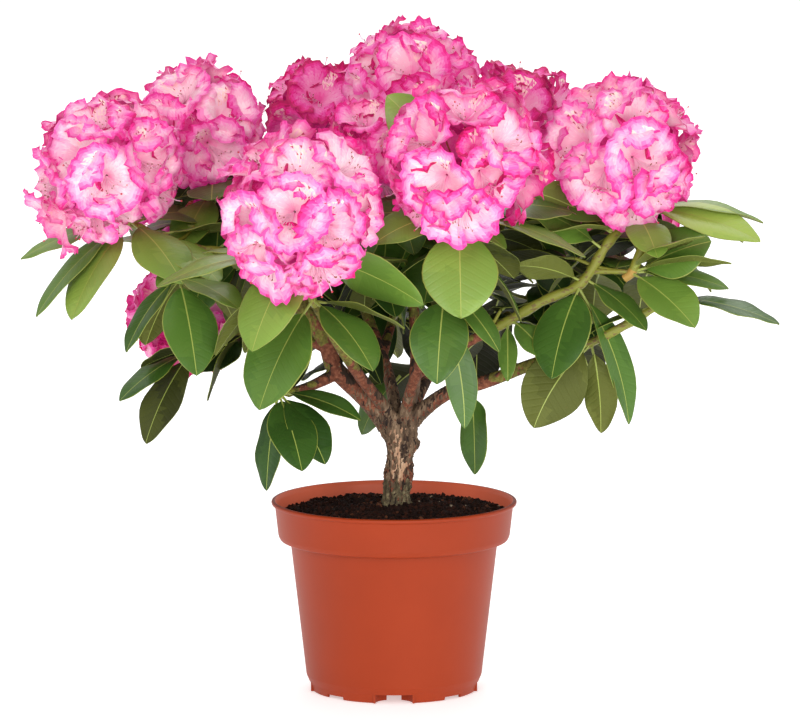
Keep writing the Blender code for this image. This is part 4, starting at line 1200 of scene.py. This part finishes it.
# Boughs that begin below this height, in metres, start in the trunk's fork and swell toward it.
FORK_HEIGHT = 0.2645
BURRS = [(6.4, (20.0, -6.0, 243.0)), (4.2, (17.5, -10.5, 247.5))]


def bark_materials():
    rows = [
        ("bark_dark", [(0.30, (26, 17, 11)), (0.52, (56, 38, 26)), (0.72, (98, 72, 52))], (1, 1, 0.22)),
        ("bark_grey", [(0.28, (48, 35, 25)), (0.50, (106, 83, 62)), (0.74, (164, 138, 110))], (1, 1, 0.20)),
        ("bark_tan", [(0.28, (134, 96, 70)), (0.50, (192, 150, 118)), (0.74, (226, 196, 164))], (1, 1, 0.16)),
        ("bark_moss", [(0.30, (46, 36, 24)), (0.52, (98, 86, 60)), (0.74, (168, 154, 116))], (1, 1, 0.7)),
        ("bark_red", [(0.28, (74, 38, 26)), (0.50, (124, 68, 46)), (0.74, (166, 104, 74))], (1, 1, 1)),
        ("bark_green", [(0.28, (78, 70, 28)), (0.50, (112, 106, 40)), (0.74, (146, 140, 62))], (1, 1, 1)),
    ]
    made = []
    for name, colours, stretch in rows:
        mat = node_material(name, colours[1][1], 0.85)
        tone_noise(mat, colours, 260.0, detail=5.0, stretch=stretch)
        noise_bump(mat, 520.0, 0.7, 0.0012, detail=5.0, stretch=stretch)
        made.append(mat)
    return made


def ridge(x, y, z):
    return 1.0 - 2.0 * abs(noise.noise(Vector((x, y, z))))


def share_of(value):
    return min(1.0, max(0.0, value))


def bark_solids():
    """Trunk, boughs and burrs as plain closed solids that overlap."""
    centres, _ = path_through([ring[:3] for ring in TRUNK[:-1]], 0.003)
    heights = [ring[2] for ring in TRUNK]
    radii = [ring[3] + 0.6 for ring in TRUNK]
    solids = [tube(centres, [float(np.interp(c.z / MM, heights, radii)) * MM for c in centres], 32)]
    for _, points, first, last in BOUGHS:
        path, share = path_through(points, 0.005)
        from_trunk = path[0].z < FORK_HEIGHT
        if from_trunk:
            path = [Vector((0.0062, 0.0, path[0].z - 0.012))] + path
            share = [0.0] + share
        swell = (4.2 if from_trunk else 1.2) * first / 7.0
        far = [(p - path[0]).length for p in path]
        slim = [(first + (last - first) * s ** TAPER + swell * math.exp(-(d / 0.026) ** 2)) * MM
                for s, d in zip(share, far)]
        if from_trunk:
            slim[0] *= 0.66
        solids.append(tube(path, slim, 14))
    for size, spot in BURRS:
        solids.append(([Vector(v) * MM for v in BALL[0] * size + spot], BALL[1].tolist()))
    return solids


def run_together(solids):
    """Points in millimetres, their outward directions and the triangles of solids run into one another."""
    verts = []
    faces = []
    for solid_verts, solid_faces in solids:
        faces += [tuple(i + len(verts) for i in face) for face in solid_faces]
        verts += [tuple(v) for v in solid_verts]
    rough = closed_mesh("bark", verts, faces)
    remesh = rough.modifiers.new("remesh", "REMESH")
    remesh.mode = "VOXEL"
    remesh.voxel_size = BARK_VOXEL
    soften = rough.modifiers.new("soften", "SMOOTH")
    soften.factor = 0.5
    soften.iterations = 5
    fine = evaluated_mesh(rough)
    bpy.data.objects.remove(rough, do_unlink=True)
    fine.calc_loop_triangles()
    points = mesh_array(fine.vertices, "co") / MM
    outward = mesh_array(fine.vertices, "normal")
    tris = mesh_array(fine.loop_triangles, "vertices", np.int32)
    bpy.data.meshes.remove(fine)
    return points, outward, tris


def build_bark(materials):
    """Trunk and boughs run into one another by a voxel remesh, then get the bark's relief and its colours."""
    points, outward, tris = run_together(bark_solids())
    level = np.empty(len(points))
    moved = np.empty_like(points)
    for i, (x, y, z) in enumerate(points):
        trunk = share_of((280.0 - z) / 22.0) * share_of((44.0 - math.hypot(x - 6, y)) / 16.0)
        strips = ridge(x * 0.16, y * 0.16 + 7, z * 0.028) * 1.8 * trunk
        flakes = ridge(x * 0.36 + 4, y * 0.36, z * 0.085 + 9) * (1.1 * trunk + 0.15)
        crumbs = noise.noise(Vector((x * 0.9, y * 0.9, z * 0.6))) * (0.6 * trunk + 0.22)
        hollow = 4.2 * math.exp(-((x - 13.5) ** 2 + (y + 13) ** 2 + ((z - 250) * 0.75) ** 2) / 14.0)
        foot = max(0.0, (190 - z) / 9) * (0.4 + 1.6 * max(0.0, math.sin(math.atan2(y, x - 2) * 3 + 1.0)))
        level[i] = strips + flakes + crumbs - 0.5 * hollow
        moved[i] = points[i] + outward[i] * (strips + flakes + crumbs + foot * trunk - hollow - 1.9 * trunk)
    middle = points[tris].mean(axis=1)
    x, y, z = middle.T
    facing_up = outward[tris].mean(axis=1)[:, 2]
    height = level[tris].mean(axis=1)
    fork = np.linalg.norm(middle - (6.0, 0.0, 256.0), axis=1)
    patch = np.array([noise.noise(Vector(p) * 0.10) for p in middle])
    fleck = np.array([noise.noise(Vector((p[0] * 0.5, p[1] * 0.5, p[2] * 0.16))) for p in middle])
    trunk = (z + 16 * fleck < 266) & (np.hypot(x - 6, y) < 32)
    green = smooth(fork + patch * 40, 95.0, 135.0) > 0.5
    front = np.exp(-((x - 6) ** 2 / 26 + (z - 228) ** 2 / 600)) * (y < 0)
    low = z < 203 + 7 * np.sin(x * 0.6)
    slots = np.full(len(tris), BARK_RED)
    for where, slot in ((facing_up + patch * 1.4 + fleck * 0.6 > 0.45, BARK_DARK), (green, BARK_GREEN),
                        (green & (fleck > 0.38), BARK_RED), (fork + 60 * fleck + 34 * patch < 46, BARK_GREY),
                        (trunk & (height < 0.9 + 0.8 * fleck), BARK_DARK),
                        (trunk & (0.7 * height + 1.3 * front + fleck > 2.1), BARK_TAN),
                        (trunk & low & (height + fleck > 0.7), BARK_MOSS)):
        slots[where] = slot
    pile = Pile()
    pile.add(moved * MM, tris, slots)
    pile.finish("bark_relief", materials, "bark", ["trunk"] + [row[0] for row in BOUGHS])


# Pot: radius and height along its outside and its inside, in millimetres.
POT_OUTSIDE = [
    (81.0, 0.0), (83.0, 8.2), (85.9, 15.0), (101.3, 147.0), (107.6, 147.2), (111.6, 149.0),
    (113.2, 153.0), (116.5, 182.6), (119.6, 183.2), (120.0, 185.8), (118.6, 187.0),
]
POT_INSIDE = [
    (116.2, 187.0), (114.4, 183.0), (111.0, 154.0), (109.0, 150.0), (99.2, 149.2), (84.0, 17.0), (81.4, 10.4),
]
UNDERSIDE_HEIGHT = 8.6
FOOT_INNER = 78.4
# Notches in the foot, for each quarter: bearing, half-angle and height.
NOTCHES = [(0, 14.0, 8.6), (45, 7.7, 3.3)]
# Pockets under the pot: where their arc is centred, inner and outer radius, lower and upper edge, middle
# radius, the slot that stays open and the steps of each half.
POCKET_CENTRE = -80.6
POCKET_RADII = (18.0, 20.0)
POCKET_HEIGHTS = (0.3, 9.4)
POCKET_RADIUS = 19.0
POCKET_SLOT = 15.0
POCKET_STEPS = 10
POT_SIDES = 128
CORNER_ROUNDING = 1.1
# Above this height, in metres, the rim's inner wall is painted light: a lighter, glowing copy of the plastic
# that stands in for light coming through the thin rim.
RIM_PAINTED_LIGHT_FROM = 0.154
RIM_PAINTED_GLOW = (1.0, 0.22, 0.12, 1.0)


def rounded(profile, most):
    """The profile with each corner turned into a short curve."""
    out = [profile[0]]
    for before, corner, after in zip(profile, profile[1:], profile[2:]):
        b, c, a = (np.array(p) for p in (before, corner, after))
        far = [np.linalg.norm(p - c) for p in (b, a)]
        start, end = (c + (p - c) / d * min(most, d * 0.42) for p, d in zip((b, a), far))
        out += [tuple((1 - t) ** 2 * start + 2 * (1 - t) * t * c + t * t * end)
                for t in (0.0, 0.33, 0.67, 1.0)]
    return out + [profile[-1]]


def closed_mesh(name, verts, faces):
    mesh = bpy.data.meshes.new(name)
    mesh.from_pydata([tuple(v) for v in verts], [], faces)
    obj = bpy.data.objects.new(name, mesh)
    bpy.context.scene.collection.objects.link(obj)
    bm = bmesh.new()
    bm.from_mesh(mesh)
    bmesh.ops.recalc_face_normals(bm, faces=bm.faces[:])
    bm.to_mesh(mesh)
    bm.free()
    return obj


def evaluated_mesh(obj):
    """The mesh that an object has after its modifiers."""
    return bpy.data.meshes.new_from_object(obj.evaluated_get(bpy.context.evaluated_depsgraph_get()))


def mesh_array(items, field, kind=float):
    """Rows of three numbers from a mesh's vertices or triangles."""
    values = np.empty(len(items) * 3, dtype=kind)
    items.foreach_get(field, values)
    return values.reshape(-1, 3)


def change_by(target, others, operation):
    """Cuts the other solids out of the target, or joins them to it."""
    group = bpy.data.collections.new("others")
    bpy.context.scene.collection.children.link(group)
    for other in others:
        group.objects.link(other)
        bpy.context.scene.collection.objects.unlink(other)
    change = target.modifiers.new("change", "BOOLEAN")
    change.operation = operation
    change.operand_type = "COLLECTION"
    change.collection = group
    change.solver = "MANIFOLD"
    result = evaluated_mesh(target)
    target.modifiers.clear()
    target.data = result
    for other in others:
        bpy.data.objects.remove(other, do_unlink=True)
    bpy.data.collections.remove(group)


def turned_solid(name, section, sides):
    """A solid of revolution from (radius, height) rows that begin and end on the axis."""
    verts = [(0.0, 0.0, section[0][1] * MM)]
    for radius, height in section[1:-1]:
        for k in range(sides):
            turn = math.tau * k / sides
            verts.append((radius * MM * math.cos(turn), radius * MM * math.sin(turn), height * MM))
    last = len(verts)
    verts.append((0.0, 0.0, section[-1][1] * MM))
    faces = []
    rings = range(1, last, sides)
    for k in range(sides):
        n = (k + 1) % sides
        faces.append((0, 1 + n, 1 + k))
        faces += [(a + k, a + n, b + n, b + k) for a, b in zip(rings, rings[1:])]
        faces.append((last - sides + k, last - sides + n, last))
    return closed_mesh(name, verts, faces)


def foot_notches():
    faces = [(0, 1, 3, 2), (4, 6, 7, 5), (0, 4, 5, 1), (2, 3, 7, 6), (0, 2, 6, 4), (1, 5, 7, 3)]
    made = []
    for quarter in range(4):
        for start, half, high in NOTCHES:
            wide = POT_OUTSIDE[0][0] * math.sin(math.radians(half)) * MM
            box = [(x, y, z) for x in (0.070, 0.095) for y in (-wide, wide) for z in (-0.002, high * MM)]
            spin = Matrix.Rotation(math.radians(start + 90 * quarter - 90), 4, "Z")
            made.append(closed_mesh("notch", [spin @ Vector(p) for p in box], faces))
    return made


def foot_pockets():
    """Upright walls on arcs under the pot, each in two halves with a slot between them."""
    inner, outer = POCKET_RADII
    bottom, top = POCKET_HEIGHTS
    opening = math.asin(POCKET_SLOT / 2 / POCKET_RADIUS)
    end = 4 * POCKET_STEPS
    faces = [(0, 1, 2, 3), (end + 3, end + 2, end + 1, end)]
    for k in range(0, end, 4):
        for c in range(4):
            n = (c + 1) % 4
            faces.append((k + c, k + 4 + c, k + 4 + n, k + n))
    made = []
    for quarter in range(4):
        spin = Matrix.Rotation(math.radians(90 * quarter), 4, "Z")
        for hand in (-1, 1):
            wall = []
            for k in range(POCKET_STEPS + 1):
                turn = hand * (opening + (math.radians(92) - opening) * k / POCKET_STEPS)
                for radius, z in ((inner, bottom), (outer, bottom), (outer, top), (inner, top)):
                    local = Vector((math.sin(turn) * radius, POCKET_CENTRE + math.cos(turn) * radius, z)) * MM
                    wall.append(spin @ local)
            made.append(closed_mesh("pocket", wall, faces))
    return made


def pot_materials():
    made = []
    # The second material is a lighter copy of the first with a glow: painted light for the rim's inner wall.
    for name, dark, colour, light, roughness, specular, glow in (
            ("pot_plastic_fine", (150, 48, 4), (155, 50, 5), (160, 53, 7), 0.5, 0.3, None),
            ("pot_plastic_painted_light", (190, 79, 48), (196, 84, 52), (204, 92, 60), 0.45, 0.35, RIM_PAINTED_GLOW)):
        mat = node_material(name, colour, roughness, specular, glow=glow, glow_strength=0.16)
        tone_noise(mat, [(0.30, dark), (0.50, colour), (0.72, light)], 9.0, detail=6.0)
        noise_bump(mat, 900.0, 0.10, 0.0003)
        made.append(mat)
    return made


def build_pot():
    under = [(0.0, UNDERSIDE_HEIGHT), (FOOT_INNER, UNDERSIDE_HEIGHT), (FOOT_INNER, 0.0)]
    section = rounded(under + POT_OUTSIDE + POT_INSIDE + [(0.0, POT_INSIDE[-1][1])], CORNER_ROUNDING)
    pot = turned_solid("pot_shell", section, POT_SIDES)
    change_by(pot, foot_notches(), "DIFFERENCE")
    change_by(pot, foot_pockets(), "UNION")
    mesh = pot.data
    mesh.materials.clear()
    add_materials(mesh, pot_materials())
    # Faces of the rim's inner wall take the painted-light copy.
    for face in mesh.polygons:
        middle = face.center
        inward = -(face.normal.x * middle.x + face.normal.y * middle.y) / math.hypot(middle.x, middle.y, 1e-9)
        face.material_index = int(inward > 0.5 and middle.z > RIM_PAINTED_LIGHT_FROM)
    mesh.shade_smooth()
    mesh.set_sharp_from_angle(angle=math.radians(38))
    place_piece(pot, ["pot"])


# Soil: a rough mound with loose crumbs and bits of fibre. Its top is (radius, height) rows in millimetres.
SOIL_TOP = [(0.0, 183.0), (26.0, 183.0), (60.0, 179.5), (90.0, 175.5), (113.2, 172.5)]
SOIL_RINGS = 44
SOIL_SIDES = 110
CRUMBS = 2300
# Share among the crumbs, material name, dark and light tone.
SOIL_KINDS = [
    (0.34, "soil_a", (18, 6, 3), (48, 21, 10)), (0.30, "soil_b", (28, 11, 6), (62, 29, 15)),
    (0.295, "soil_c", (12, 4, 2), (36, 15, 8)), (0.06, "soil_fibre", (60, 32, 20), (104, 62, 40)),
    (0.005, "soil_grit", (130, 112, 92), (176, 160, 138)),
]


def soil_height(x, y):
    flat = float(np.interp(math.hypot(x, y), [r for r, z in SOIL_TOP], [z for r, z in SOIL_TOP]))
    coarse = noise.noise(Vector((x * 0.06, y * 0.06, 3.0))) * 1.8
    return flat + (coarse + noise.noise(Vector((x * 0.25, y * 0.25, 8.0))) * 1.3)


def soil_crumb(rng):
    """Points of one loose crumb, or None where it would sit in the trunk or the pot's wall."""
    radius = 111.0 * math.sqrt(rng.random())
    turn = rng.random() * math.tau
    x, y = radius * math.cos(turn), radius * math.sin(turn)
    if math.hypot(x - 2, y) < 13:
        return None
    size = rng.uniform(0.7, 2.4) if rng.random() < 0.85 else rng.uniform(2.4, 3.8)
    size = min(size, (114.0 - radius) * 0.6)
    if size < 0.4:
        return None
    stretch = rng.uniform(0.55, 1.3, 3) * size
    spin = Matrix.Rotation(rng.random() * 6.3, 3, Vector(rng.normal(size=3)).normalized())
    lump = (BALL[0] * (1 + rng.normal(0.0, 0.16, (len(BALL[0]), 1)))) * stretch
    return lump @ np.array(spin) + (x, y, soil_height(x, y) + size * 0.25)


def build_soil():
    pile = Pile()
    verts = []
    for i in range(SOIL_RINGS + 1):
        radius = 112.9 * i / SOIL_RINGS
        for k in range(SOIL_SIDES):
            turn = math.tau * k / SOIL_SIDES
            x, y = radius * math.cos(turn), radius * math.sin(turn)
            verts.append((x, y, soil_height(x, y)))
    tris = grid_tris(SOIL_RINGS, SOIL_SIDES, closed=True)
    pile.add(np.array(verts) * MM, tris[:, ::-1], np.random.default_rng(2).integers(0, 2, len(tris)))
    rng = np.random.default_rng(31)
    for _ in range(CRUMBS):
        lump = soil_crumb(rng)
        if lump is not None:
            pile.add(lump * MM, BALL[1], rng.choice(len(SOIL_KINDS), p=[row[0] for row in SOIL_KINDS]))
    materials = []
    for _, name, dark, light in SOIL_KINDS:
        mat = node_material(name, dark, 0.95, specular=0.25)
        tone_noise(mat, [(0.35, dark), (0.65, light)], 300.0)
        noise_bump(mat, 800.0, 0.8, 0.001)
        materials.append(mat)
    pile.finish("soil_crumbs", materials, "potting_soil", ["soil"]).data.shade_flat()


# Studio: pale floor, large soft lights. Lights: name, place, size and power.
WHITE = (1.0, 1.0, 1.0, 1.0)
LIT_SPOT = Vector((0.0, 0.0, 0.38))
FLOOR_RADIUS = 24
FLOOR_SIDES = 96
LIGHTS = [
    ("key", (-0.9, -3.4, 1.9), 1.6, 37.0), ("fill", (1.6, -3.2, 0.7), 1.6, 29.0),
    ("low", (0.2, -2.2, 0.50), 0.5, 6.0), ("over", (0.0, 4.0, 5.0), 5.0, 170.0),
]


def build_studio():
    scene = bpy.context.scene
    scene.view_settings.view_transform = "Standard"
    world = bpy.data.worlds.new("studio")
    scene.world = world
    world.use_nodes = True
    sky = world.node_tree.nodes["Background"]
    sky.inputs["Color"].default_value = WHITE
    sky.inputs["Strength"].default_value = 0.60
    verts = [Vector()]
    faces = []
    for k in range(FLOOR_SIDES):
        turn = math.tau * k / FLOOR_SIDES
        verts.append(Vector((math.cos(turn), math.sin(turn), 0.0)) * FLOOR_RADIUS)
        faces.append((0, 1 + k, 1 + (k + 1) % FLOOR_SIDES))
    mesh = bpy.data.meshes.new("floor")
    mesh.from_pydata(verts, [], faces)
    floor = bpy.data.objects.new("floor", mesh)
    scene.collection.objects.link(floor)
    floor.location.z = -0.0004
    mesh.materials.append(node_material("floor_paper", (246, 246, 246), 0.9, 0.1, 0.0, WHITE, 0.46))
    for name, spot, size, power in LIGHTS:
        data = bpy.data.lights.new(name, "AREA")
        data.shape = "DISK"
        data.size = size
        data.energy = power
        lamp = bpy.data.objects.new(name, data)
        lamp.location = spot
        lamp.rotation_euler = (LIT_SPOT - Vector(spot)).to_track_quat("-Z", "Y").to_euler()
        scene.collection.objects.link(lamp)


build_studio()
build_pot()
build_soil()
build_bark(bark_materials())
stems = Pile()
build_twigs(stems)
build_blossom(stems)
stems.finish("twigs", twig_materials(), "leaf", [])
build_leaves()
